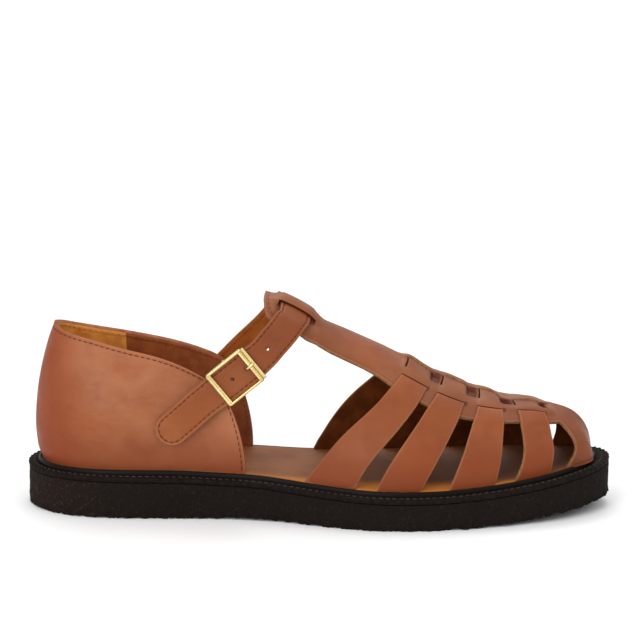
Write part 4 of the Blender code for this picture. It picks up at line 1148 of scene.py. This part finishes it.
def spine_rise(row, column):
    """How far a row of the spine stands off the last's surface at its columns, inner side negative.

    Across its width p an outer band stands at full height from its cut back end, then rolls
    down as 1 - (2p - 1) ** 6 into the recess before the next one; nearer its slit both ends
    are soft, as 1 - |2p - 1| ** 3.2.  The inner bands roll over the ridge, so the last of
    them that shows is their cut edge."""
    place = np.abs(column)
    hump = row["hump"]
    if hump > 0.0:
        press = smooth_step((place - 0.45 * SLIT_COLUMN) / (0.55 * SLIT_COLUMN))
        beside = -BRIDGE_SINK * BRIDGE_LIFT * smooth_step((hump - 0.2) / 0.8)
        return np.where(place > SLIT_COLUMN, beside, (BRIDGE_LIFT - BRIDGE_PRESS * press) * hump)
    start = STRAP_EDGES[0][0]
    weave = smooth_step((row["along"] - start + WEAVE_FADE) / WEAVE_FADE)
    if row["toe"]:
        weave = 1.0 - smooth_step(row["part"] / 0.25)
    near = 1.0 - smooth_step((place - 3.0) / np.where(column > 0, 5.0, 8.0))
    lift_at = STRAP_EDGES[-1][0] if row["toe"] else row["along"]
    lift = table_value(RIDGE_LIFT, 1, lift_at) * MM * near * weave
    covered = row["strap"] >= 0
    part = row["part"] if covered else 0.0
    soft = 1.0 - abs(2.0 * part - 1.0) ** 3.2 if covered else 0.0
    roll = 1.0 - smooth_step((place - 1.0) / 4.5)
    inner = INNER_ROLL * roll * INNER_RISE * (1.0 + soft) * weave
    inner = inner + 0.25 * BAND_RISE * soft * (1.0 - roll) * (place <= SLIT_COLUMN)
    lengthwise = smooth_step((place - CUT_COLUMN + 1.5) / 1.5)
    sunk = -RECESS * (1.0 - lengthwise) + WEB_RISE * lengthwise
    sunk = sunk * (1.0 - smooth_step((place - SLIT_COLUMN + 1.0) / 4.0))
    if row["toe"] or row["along"] < start:
        outer = 0.5 * INNER_RISE * weave * (place == 0)
    elif covered:
        full = (1.0 - max(2.0 * part - 1.0, 0.0) ** 6) * (0.85 + 0.15 * soft)
        bump = full * (1.0 - lengthwise) + soft * lengthwise
        across = place / SLIT_COLUMN
        crown = (1.0 - 0.30 * (1.0 - across) ** 2) * (1.0 - 0.5 * across ** 4)
        band = BAND_RISE * bump * crown + sunk * (1.0 - bump)
        outer = np.where(place > SLIT_COLUMN, -MARGIN_SINK * soft * (place < len(COLUMNS)), band)
    else:
        outer = np.where(place > 0, sunk, 0.2 * MM)
    return lift + np.where(column < 0, inner, outer)


def build_spine():
    """One piece of leather: T-bar with two slits, woven spine and toe band."""
    grid, cells, info, middle = spine_grid()
    dark, slit, shade = np.zeros((3,) + grid.shape[:2])
    left = middle - SLIT_COLUMN - 1
    right = middle + SLIT_COLUMN + 2
    for r, row in enumerate(info):
        covered = row["strap"] >= 0
        # Painted shade in the bands' cuts and at their cut ends, and dots at each strap's front corner where
        # it passes under a band
        if not row["toe"] and row["along"] > STRAP_EDGES[0][0] - 0.004:
            sunk = float(smooth_step((row["part"] - 0.84) / 0.14)) if covered else 1.0
            shade[r, middle:middle + CUT_COLUMN] = CUT_SHADE * sunk
            shade[r, middle + CUT_COLUMN] = CUT_END_SHADE * sunk
            if covered and info[r + 1]["strap"] < 0:
                shade[r, right - 2:right] = SLIT_SHADE
        # dark is painted shade on the cut edges and flesh side along the slits
        if row["hump"] > 0.5 or covered:
            dark[r, left:middle - 1] = 1.0
            dark[r, middle + 1:right] = 1.0
            slit[r, left:right] = 1.0
    obj = leather_sheet("woven_forepart", grid, FOREPART_CENTRE, SPINE_LEATHER, ["edged", "inside", "raw"],
                        cells, dark=dark, slit=slit, shade=shade)
    return [joined_to_frame(obj, "upper", "vamp_upper"), build_bar_stitches()]


def build_bar_stitches():
    """Stitches that follow the round end of the T-bar, at an even distance from its edge."""
    edges = [row[2] for row in BAR_ROWS[:5]]
    stations = [row[0] for row in BAR_ROWS[:5]]
    across = np.linspace(-0.165, 0.165, 160)
    along = np.interp(np.abs(across) + 0.012, edges, stations) + 0.0072
    down = -np.arcsin(across / table_value(BAR_ROWS, 1, along)) * 2.0 / math.pi
    points = bar_points(np.stack([along - 0.002, along, along + 0.002]), np.stack([down] * 3))
    normal = outward(points, FOREPART_CENTRE)
    return thread_row("bar_end_stitches", points[1], normal[1], UPPER_THREAD, 0.55)


def side_strap_grid(number):
    """Outer face of one side strap, from the outer sole over the crown to the inner sole.

    It lies on the spine's margins and dips under the bands; the dip is a smooth step.  Painted shade darkens
    it just below each slit."""
    back = STRAP_EDGES[2 * number]
    front = STRAP_EDGES[2 * number + 1]
    down = np.linspace(1.0, -1.0, 150)
    down = np.sign(down) * np.abs(down) ** 1.05
    rows = []
    outer = down >= SPINE_CENTRE
    width = np.where(outer, SPINE_EDGE - SPINE_CENTRE, SPINE_EDGE + SPINE_CENTRE)
    place = np.abs(down - SPINE_CENTRE) / width
    narrow = 1.0 - 0.07 * (1.0 - smooth_step((place - 0.7) / 0.5))
    for part in np.linspace(0.0, 1.0, 13):
        share = 0.5 + (part - 0.5) * narrow
        rows.append(strap_points([a + (b - a) * share for a, b in zip(back, front)], 0.0, down))
    grid = np.array(rows)
    normal = outward(grid, FOREPART_CENTRE)
    climb = smooth_step((place - np.where(outer, 0.50, 0.61)) / 0.18)
    fall = (1.0 - smooth_step((place - 1.0) / 0.55)) * np.where(outer, 1.0, 0.5)
    rise = -STRAP_DIP + (STRAP_DIP + STRAP_RISE * fall) * climb
    # Painted shade on the strap just below each slit, where it goes under the band
    under = 0.35 * np.exp(-((place - 0.62) / 0.035) ** 2) * (place < 1.0)
    return grid + normal * rise[None, :, None], np.tile(under, (len(grid), 1))


def build_side_straps():
    made = []
    for number in range(STRAPS):
        grid, shade = side_strap_grid(number)
        obj = leather_sheet(f"side_strap_{number + 1}", grid, FOREPART_CENTRE, STRAP_LEATHER,
                            ["sides", "inside", "raw"], shade=shade)
        made.append(joined_to_frame(obj, "upper", "vamp_upper"))
    return made


# Heel quarter
def top_line(turn_share):
    """Height of the quarter's top as a share of the counter's, on the outer or the inner side."""
    u = np.abs(turn_share)
    return np.where(turn_share > 0.0, table_value(TOP_LINE, 1, u), table_value(TOP_LINE, 2, u))


def quarter_points(turn_share, height_share):
    """Quarter's outer face: from the back (0) to a front edge (1 outer, -1 inner).

    It stands on the outline and leans in by HEEL_WALL, whose columns are mixed by the square
    of the outline's sideways direction and by the place between the back and the front."""
    u = np.abs(turn_share)
    high = top_line(turn_share) * height_share
    lean = QUARTER_LEAN * u * u * height_share ** 2
    point, normal = outline_at(QUARTER_FRONT * turn_share * (1.0 - lean))
    sideways = normal[..., 1] ** 2
    forward = np.clip((u - 0.35) / 0.65, 0.0, 1.0)
    side = table_value(HEEL_WALL, 2, high) * (1.0 - forward) + table_value(HEEL_WALL, 3, high) * forward
    inset = COUNTER_HEIGHT * (table_value(HEEL_WALL, 1, high) * (1.0 - sideways) + side * sideways)
    flat = point - normal * inset[..., None]
    tuck = FOOT_TUCK * (1.0 - height_share) ** 12
    z = insole_top(flat[..., 0]) + GAP - tuck + COUNTER_HEIGHT * high
    return np.concatenate([flat, z[..., None]], -1)


# Soft dents and swells of the quarter, placed one by one
# turn share, height share, spread along and up (shares), depth in millimetres
QUARTER_CREASES = (
    (0.30, 0.16, 0.16, 0.10, 0.55),
    (0.62, 0.12, 0.14, 0.08, 0.45),
    (0.12, 0.55, 0.10, 0.22, 0.40),
    (0.78, 0.52, 0.10, 0.20, -0.45),
    (0.48, 0.40, 0.16, 0.16, -0.40),
    (-0.40, 0.30, 0.20, 0.15, 0.50),
    (-0.80, 0.50, 0.12, 0.20, 0.45),
)


def creased_quarter(u, v):
    """Quarter's outer face with its soft dents; also its outward normals."""
    points = quarter_points(u, v)
    normal = outward(points, QUARTER_CENTRE)
    depth = np.zeros(u.shape)
    for turn, high, wide, tall, deep in QUARTER_CREASES:
        depth += deep * MM * np.exp(-((u - turn) / wide) ** 2 - ((v - high) / tall) ** 2)
    fade = smooth_step(v / 0.1) * smooth_step((1.0 - v) / 0.1)
    return points - normal * (depth * fade)[..., None], normal


def build_quarter():
    """Closed heel: one wall of leather with a lining, open at the top and at the front.

    A bell curve of the distance from the free edge swells its rim, and another sinks the channel."""
    turns = np.concatenate([np.linspace(0.0, 0.965, 84), np.linspace(0.965, 1.0, 15)[1:]])
    turns = np.concatenate([turns[::-1], -turns[1:]])
    highs = np.concatenate([np.linspace(0.0, 0.92, 44), np.linspace(0.92, 1.0, 19)[1:]])
    u, v = np.meshgrid(turns, highs)
    points, normal = creased_quarter(u, v)
    length = QUARTER_FRONT * RING_LENGTH
    row = np.minimum(COUNTER_HEIGHT * top_line(u) * (1.0 - v), length * (1.0 - np.abs(u)))
    channel = CHANNEL_DEPTH * np.exp(-((row - STITCH_INSET) / (0.45 * MM)) ** 2)
    swell = 0.16 * MM * np.exp(-((row - 0.75 * MM) / (0.5 * MM)) ** 2)
    points = points + normal * (swell - channel)[..., None]
    obj = leather_sheet("heel_quarter_leather", points, QUARTER_CENTRE, WALL,
                        ["leather", "lining", "burnished"], edge_round=0.7 * MM)
    made = [joined_to_frame(obj, "upper", "heel_quarter")]
    front = 1.0 - STITCH_INSET / length
    sweep = np.linspace(front, -front, 400)
    over = 1.0 - STITCH_INSET / (COUNTER_HEIGHT * top_line(sweep))
    rise = np.linspace(0.03, 1.0, 80)
    for name, turns, highs, step_u, step_v, lined in (
        ("topline", sweep, over, 0.0, 0.01, True),
        ("outer_front", np.full(80, front), rise * over[0], 0.01, 0.0, False),
        ("inner_front", np.full(80, -front), rise * over[-1], 0.01, 0.0, True),
    ):
        points, normal = creased_quarter(np.stack([turns - step_u, turns, turns + step_u]),
                                         np.stack([highs - step_v, highs, highs + step_v]))
        middle, up = points[1], normal[1]
        made.append(thread_row(f"{name}_stitches", middle - up * CHANNEL_DEPTH, up, UPPER_THREAD, 0.25))
        if lined:
            lining = middle - up * (WALL + 0.02 * MM)
            made.append(thread_row(f"{name}_lining_stitches", lining, -up, UPPER_THREAD, 0.35))
    return made


# Ankle strap and buckle
def strap_frame(share):
    """Centre, direction, width direction and outward normal of the ankle strap."""
    steps = [(i / (len(ANKLE_STRAP) - 1), *row) for i, row in enumerate(ANKLE_STRAP)]
    probe = 0.002
    spots = np.array([share, min(share + probe, 1.0), max(share - probe, 0.0)])
    path = np.stack([station(table_value(steps, 1, spots)), BALL_WIDTH * table_value(steps, 2, spots),
                     INSTEP_HEIGHT * table_value(steps, 3, spots)], -1)
    direction = unit(path[1] - path[2])
    slant = math.radians(float(table_value(steps, 4, share)))
    width = np.array([math.cos(slant), 0.0, -math.sin(slant)])
    width = unit(width - direction * width.dot(direction))
    return path[0], direction, width, np.cross(width, direction)


def strap_path():
    """Shares along the strap, the lengths from its tip there and the buckle's length."""
    fine = np.linspace(0.0, 1.0, 400)
    path = np.array([strap_frame(s)[0] for s in fine])
    run = run_along(path)
    return fine, run, float(np.interp(float(station(BUCKLE_ALONG)), path[:200, 0], run[:200]))


def strap_at(length, path):
    """The strap's frame at a length from its tip."""
    fine, run, _ = path
    return strap_frame(float(np.interp(length, run, fine)))


def crown_height(x, y):
    """Height of the last's surface over the floor, from its superellipse sections."""
    share = share_of(x)
    ridge = BALL_WIDTH * table_value(CROWN_SECTIONS, 2, share)
    side = BALL_WIDTH * table_value(BAR_ROWS, 1, share)
    sine = np.minimum(np.abs(y - ridge) / side, 0.98)
    full = table_value(CROWN_SECTIONS, 3, share)
    rise = INSTEP_HEIGHT * table_value(CROWN_SECTIONS, 1, share)
    return insole_top(x) + GAP + rise * (1.0 - sine * sine) ** (1.0 / full)


def strap_row(length, across, path):
    """Points on the strap's middle sheet at one length from its tip.

    It is straight in the buckle, follows the last where it passes under the T-bar's bridge, and
    keeps to its centre line between; smooth steps join the three."""
    buckle = path[2]
    far = abs(length - buckle)
    near = 1.0 - smooth_step((far - 0.45 * BUCKLE_LENGTH) / (0.35 * BUCKLE_LENGTH))
    reach = np.asarray(across, float)[:, None] * (ANKLE_STRAP_WIDTH / 2.0 + BUCKLE_SPREAD * near)
    middle, _, width, _ = strap_at(length, path)
    free = middle + width * reach
    inside, outside = STRAP_IN_BUCKLE
    fade = float(smooth_step((far - inside) / (outside - inside)))
    if fade < 1.0:
        centre, direction, level, normal = strap_at(buckle, path)
        dip = BUCKLE_DIP * min(far / (BUCKLE_LENGTH / 2.0), 1.0) ** 2
        held = centre + direction * (length - buckle) - normal * dip + level * reach
        free = held + (free - held) * fade
    x, y = free[:, 0], free[:, 1]
    ridge = BALL_WIDTH * table_value(CROWN_SECTIONS, 2, share_of(x))
    inside, outside = STRAP_ON_BAR
    fade = smooth_step((np.abs(y - ridge) / BALL_WIDTH - inside) / (outside - inside))[:, None]
    slope_x = (crown_height(x + PROBE, y) - crown_height(x - PROBE, y)) / (2.0 * PROBE)
    slope_y = (crown_height(x, y + PROBE) - crown_height(x, y - PROBE)) / (2.0 * PROBE)
    up = unit(np.stack([-slope_x, -slope_y, np.ones_like(x)], -1))
    bridge = BALL_WIDTH * np.where(y > ridge, *BRIDGE_REACH)
    under = 1.0 - smooth_step(np.abs(y - ridge) / bridge)[:, None]
    depth = BRIDGE_LIFT - WALL - GAP + 0.6 * MM - ANKLE_STRAP_THICKNESS / 2.0 - UNDER_BRIDGE * under
    on_bar = np.stack([x, y, crown_height(x, y)], -1) + up * depth
    return free * fade + on_bar * (1.0 - fade)


def in_buckle(points, path):
    """Points given along, across and over the buckle, moved to its place on the strap."""
    centre, direction, width, normal = strap_at(path[2], path)
    return centre + np.asarray(points, float) @ np.array([direction, -width, normal])


def strap_crown(across, sew):
    """Swell of the strap's face, with a channel where it is sewn."""
    across = np.abs(across)
    channel = CHANNEL_DEPTH * np.exp(-((across - sew) / 0.05) ** 2)
    return 0.25 * MM * (1.0 - across ** 4) + 0.12 * MM * (across > sew) * (1.0 - across) - channel


def build_ankle_strap(path):
    """Strap of two layers sewn together: a sheet along its path, a round tip, three holes."""
    _, run, buckle = path
    half = ANKLE_STRAP_WIDTH / 2.0
    tip = [half * (1.0 - math.cos(a)) for a in np.linspace(0.16, math.pi / 2.0, 14)]
    lengths = tip + list(np.linspace(half, run[-1], 165)[1:])
    sew = 1.0 - STRAP_SEAM / half
    across = [0.0, 0.2, 0.4, 0.58, 0.68]
    across += [sew + step for step in (-0.06, -0.03, 0.0, 0.03, 0.06)] + [0.92, 0.97, 1.0]
    across = np.array([-a for a in across[:0:-1]] + across)
    rows = []
    for length in lengths:
        reach = math.sqrt(1.0 - max(1.0 - length / half, 0.0) ** 2)
        rows.append(strap_row(length, across * reach, path))
    grid = np.array(rows)
    reach = np.clip(np.array(lengths) / half, 0.0, 1.0)[:, None]
    crown = strap_crown(across, sew) * smooth_step((reach - 0.15) / 0.2)
    outer = grid + outward(grid, ANKLE_CENTRE) * (STRAP_FACE + crown)[..., None]
    obj = leather_sheet("ankle_strap_leather", outer, ANKLE_CENTRE, ANKLE_STRAP_THICKNESS,
                        ["strap", "strap_inside", "burnished"], edge_round=0.5 * MM)
    for place in HOLE_PLACES:
        centre = strap_row(buckle + place, [0.0], path)[0]
        near = buckle if abs(place) < STRAP_IN_BUCKLE[0] else buckle + place
        axis = strap_at(near, path)[3] * 4.0 * MM
        cutter = shells("hole_cutter", [tube_points([centre - axis, centre + axis], HOLE_RADIUS, 20, False)],
                        ["inside"])
        step = obj.modifiers.new("hole", "BOOLEAN")
        step.solver = "EXACT"
        step.object = cutter
        baked(obj)
        bpy.data.objects.remove(cutter)
    joined_to_frame(obj, "upper", "ankle_strap")
    spots = np.linspace(half, run[-1] - 1.0 * MM, 220)
    seam = [(length, -sew) for length in spots[::-1]]
    turn_in = np.linspace(0.0, math.pi, 31)[1:-1]
    seam += [(half - half * sew * math.sin(a), -sew * math.cos(a)) for a in turn_in]
    seam += [(length, sew) for length in spots]
    line = []
    ups = []
    for length, side in seam:
        three = strap_row(length, [side - 0.02, side, side + 0.02], path)
        ahead = strap_row(length + 0.3 * MM, [side], path)[0]
        up = unit(np.cross(three[2] - three[0], ahead - three[1]))
        line.append(three[1] + up * (STRAP_FACE + strap_crown(side, sew)))
        ups.append(up)
    return [obj, thread_row("ankle_strap_stitches", line, ups, UPPER_THREAD, 0.25)]


def rounded_ring(length_low, length_high, half_width, radius, steps=5):
    """Rounded rectangle in the buckle's plane, anticlockwise; each corner is a quarter circle."""
    points = []
    for x, y, start in ((length_high, half_width, 0.0), (length_low, half_width, 90.0),
                        (length_low, -half_width, 180.0), (length_high, -half_width, 270.0)):
        centre = np.array([x - math.copysign(radius, x), y - math.copysign(radius, y)])
        turn = np.radians(start + np.linspace(0.0, 90.0, steps))
        points.append(centre + radius * np.column_stack([np.cos(turn), np.sin(turn)]))
    return np.concatenate(points)


# The prong from its hole to its tip: millimetres ahead of the hole, and below its rest on the frame
PRONG_TIP = ((0.0, 2.1), (0.2, 1.0), (0.7, 0.25), (1.5, 0.0), (2.6, 0.0), (3.6, 0.05), (4.3, 0.25))
# Section of the frame's bars: share of the way from the outer to the inner edge, share of height
BAR_SECTION = (
    (0.00, 0.00), (0.00, 0.55), (0.06, 0.80), (0.20, 0.97), (0.36, 1.00), (0.46, 0.91),
    (0.54, 0.91), (0.64, 1.00), (0.80, 0.97), (0.94, 0.80), (1.00, 0.55), (1.00, 0.00),
)


def build_buckle(path):
    """Frame: bars with a grooved section lofted round a rounded rectangle, and two round bars."""
    half_length = BUCKLE_LENGTH / 2.0
    half_width = BUCKLE_WIDTH / 2.0
    low = BUCKLE_LIFT - BUCKLE_HEIGHT / 2.0
    outer = rounded_ring(-half_length, half_length, half_width, 1.1 * MM)
    inner = rounded_ring(-half_length + BUCKLE_BACK_BAR, half_length - BUCKLE_FRONT_BAR,
                         half_width - BUCKLE_RAIL, 0.35 * MM)
    rings = []
    for share, high in BAR_SECTION:
        flat = outer + (inner - outer) * share
        rings.append(np.column_stack([flat, np.full(len(flat), low + BUCKLE_HEIGHT * high)]))
    parts = [(in_buckle(np.concatenate(rings), path), ring_faces(len(rings), len(outer), "joined"))]
    reach = half_length + OUTER_BAR_RADIUS - 0.1 * MM
    bar = [(reach, t * (half_width - 0.9 * MM), BUCKLE_LIFT) for t in np.linspace(-1.0, 1.0, 9)]
    parts.append(tube_points(in_buckle(bar, path), OUTER_BAR_RADIUS, 16))
    depth = -(ANKLE_STRAP_THICKNESS / 2.0 + GAP + TAB_THICKNESS + 0.2 * MM + CENTRE_BAR_RADIUS)
    side = half_width - BUCKLE_RAIL / 2.0
    curve = 0.6 * MM
    bent = [(0.0, -side, BUCKLE_LIFT), (0.0, -side, depth + curve), (0.0, -side + curve, depth),
            (0.0, side - curve, depth), (0.0, side, depth + curve), (0.0, side, BUCKLE_LIFT)]
    parts.append(tube_points(in_buckle(bent, path), CENTRE_BAR_RADIUS, 12))
    frame = shells("buckle_frame_brass", parts, ["brass"], 28.0)
    joined_to_frame(frame, "buckle", "buckle_frame")
    hook = CENTRE_BAR_RADIUS + 0.25 * MM + PRONG_RADIUS
    hole = HOLE_PLACES[1]
    rest = BUCKLE_LIFT + BUCKLE_HEIGHT / 2.0 + 0.05 * MM + PRONG_RADIUS
    under = -(ANKLE_STRAP_THICKNESS / 2.0 + 0.6 * MM + PRONG_RADIUS)
    turns = np.radians(np.arange(-190.0, -9.0, 20.0))
    wire = [(hook * math.cos(a), depth + hook * math.sin(a)) for a in turns]
    wire += [(0.45 * hole, under - 0.1 * MM), (0.75 * hole, under), (0.93 * hole, under + 0.7 * MM),
             (hole, under + 1.7 * MM)]
    wire += [(hole + ahead * MM, rest - down * MM) for ahead, down in PRONG_TIP]
    prong = tube_points(in_buckle([(s, 0.0, n) for s, n in wire], path), PRONG_RADIUS, 14)
    prong = shells("buckle_prong_brass", [prong], ["brass"], 40.0)
    return [frame, joined_to_frame(prong, "buckle", "buckle_prong")]


def dress_nodes(frame):
    """CAD nodes that keep their shape get their leather."""
    for name, key in (("insole", "footbed"), ("buckle_tab", "leather")):
        mesh = frame["nodes"][name].data
        mesh.materials.clear()
        mesh.materials.append(MATERIALS[key])


# Studio
# Lights: kind, place, angle of a sun or diameter of a disk, strength
LIGHTS = {
    "high_light": ("SUN", (-0.3, -0.6, 1.6), math.radians(70.0), 0.54),
    "front_light": ("AREA", (-0.5, -1.5, 0.75), 0.9, 9.0),
    "side_light": ("AREA", (1.1, -0.5, 0.9), 0.6, 2.0),
    "back_light": ("SUN", (0.05, 0.9, 1.4), math.radians(35.0), 0.82),
}
LIGHT_TARGET = (0.09, 0.0, 0.04)
WORLD_STRENGTH = 0.80
FLOOR_REACH = 12.0


def stand(name, data, place, aim):
    """Puts a lamp or camera at a place, looking along a direction."""
    holder = bpy.data.objects.new(name, data)
    holder.location = place
    holder.rotation_euler = aim.to_track_quat("-Z", "Y").to_euler()
    bpy.context.scene.collection.objects.link(holder)
    return holder


def build_stage(floor_level):
    """Pale floor, soft light from above and both sides, and the fitted camera."""
    mesh = bpy.data.meshes.new("studio_floor")
    corners = [(-FLOOR_REACH, -FLOOR_REACH), (FLOOR_REACH, -FLOOR_REACH), (FLOOR_REACH, FLOOR_REACH),
               (-FLOOR_REACH, FLOOR_REACH)]
    mesh.from_pydata([(x, y, floor_level) for x, y in corners], [], [(0, 1, 2, 3)])
    floor = link("studio_floor", mesh, ["paper"])
    scene = bpy.context.scene
    scene.world = scene.world or bpy.data.worlds.new("studio")
    scene.world.use_nodes = True
    back = scene.world.node_tree.nodes["Background"]
    back.inputs["Color"].default_value = (1.0, 1.0, 1.0, 1.0)
    back.inputs["Strength"].default_value = WORLD_STRENGTH
    for name, (kind, place, size, power) in LIGHTS.items():
        light = bpy.data.lights.new(name, kind)
        if kind == "SUN":
            light.angle = size
        else:
            light.shape = "DISK"
            light.size = size
        light.energy = power
        stand(name, light, place, Vector(LIGHT_TARGET) - Vector(place))
    camera = bpy.data.cameras.new("photo_camera")
    camera.lens = CAMERA_LENS
    camera.sensor_width = SENSOR_WIDTH
    camera.clip_end = 20.0
    yaw = math.radians(CAMERA_YAW)
    rise = math.radians(CAMERA_ELEVATION)
    away = Vector((math.sin(yaw) * math.cos(rise), -math.cos(yaw) * math.cos(rise), math.sin(rise)))
    place = Vector(CAMERA_TARGET) + away * CAMERA_DISTANCE
    scene.camera = stand("photo_camera", camera, place, -away)
    scene.view_settings.view_transform = "Standard"


# Add-on
def colour_property(name, description, colour):
    return bpy.props.FloatVectorProperty(name=name, description=description, default=linear(colour),
                                         size=4, min=0.0, max=1.0, subtype="COLOR")


class SandalSettings(bpy.types.PropertyGroup):
    floor_level: bpy.props.FloatProperty(
        name="Floor level", description="Height of the floor under the sole", default=0.0,
        unit="LENGTH", subtype="DISTANCE")
    leather_colour: colour_property("Leather", "Grain side of the heel where it is lightest", "#A66846")
    thread_colour: colour_property("Thread", "Waxed thread of the upper", "#4A1C0C")
    brass_colour: colour_property("Brass", "Frame and prong of the buckle", "#D8C083")


class SANDAL_OT_sole(bpy.types.Operator):
    """Build the crepe outsole, the storm welt and its stitches"""
    bl_idname = "sandal.sole"
    bl_label = "Build the sole"

    def execute(self, context):
        build_outsole()
        build_welt()
        build_welt_stitches()
        return {"FINISHED"}


class SANDAL_OT_forepart(bpy.types.Operator):
    """Build the woven forepart and its side straps"""
    bl_idname = "sandal.forepart"
    bl_label = "Build the forepart"

    def execute(self, context):
        build_spine()
        build_side_straps()
        return {"FINISHED"}


class SANDAL_OT_quarter(bpy.types.Operator):
    """Build the heel quarter and its stitches"""
    bl_idname = "sandal.quarter"
    bl_label = "Build the heel quarter"

    def execute(self, context):
        build_quarter()
        return {"FINISHED"}


class SANDAL_OT_ankle(bpy.types.Operator):
    """Build the ankle strap, the buckle and the prong"""
    bl_idname = "sandal.ankle"
    bl_label = "Build the ankle strap"

    def execute(self, context):
        path = strap_path()
        build_ankle_strap(path)
        build_buckle(path)
        dress_nodes(FRAME)
        return {"FINISHED"}


class SANDAL_OT_stage(bpy.types.Operator):
    """Build the floor, lights and camera"""
    bl_idname = "sandal.stage"
    bl_label = "Build the studio"

    def execute(self, context):
        build_stage(context.scene.sandal.floor_level)
        return {"FINISHED"}


class SANDAL_PT_panel(bpy.types.Panel):
    """Sidebar panel with one button for each step"""
    bl_label = "Sandal"
    bl_idname = "SANDAL_PT_panel"
    bl_space_type = "VIEW_3D"
    bl_region_type = "UI"
    bl_category = "Sandal"

    def draw(self, context):
        for name in ("floor_level", "leather_colour", "thread_colour", "brass_colour"):
            self.layout.prop(context.scene.sandal, name)
        for operator in OPERATORS:
            self.layout.operator(operator.bl_idname)


OPERATORS = (SANDAL_OT_sole, SANDAL_OT_forepart, SANDAL_OT_quarter, SANDAL_OT_ankle, SANDAL_OT_stage)
CLASSES = (SandalSettings,) + OPERATORS + (SANDAL_PT_panel,)


def register():
    for cls in CLASSES:
        bpy.utils.register_class(cls)
    bpy.types.Scene.sandal = bpy.props.PointerProperty(type=SandalSettings)


def unregister():
    del bpy.types.Scene.sandal
    for cls in reversed(CLASSES):
        bpy.utils.unregister_class(cls)


def main():
    register()
    make_materials(bpy.context.scene.sandal)
    bpy.ops.sandal.sole()
    bpy.ops.sandal.forepart()
    bpy.ops.sandal.quarter()
    bpy.ops.sandal.ankle()
    bpy.ops.sandal.stage()


if __name__ == "__main__":
    main()
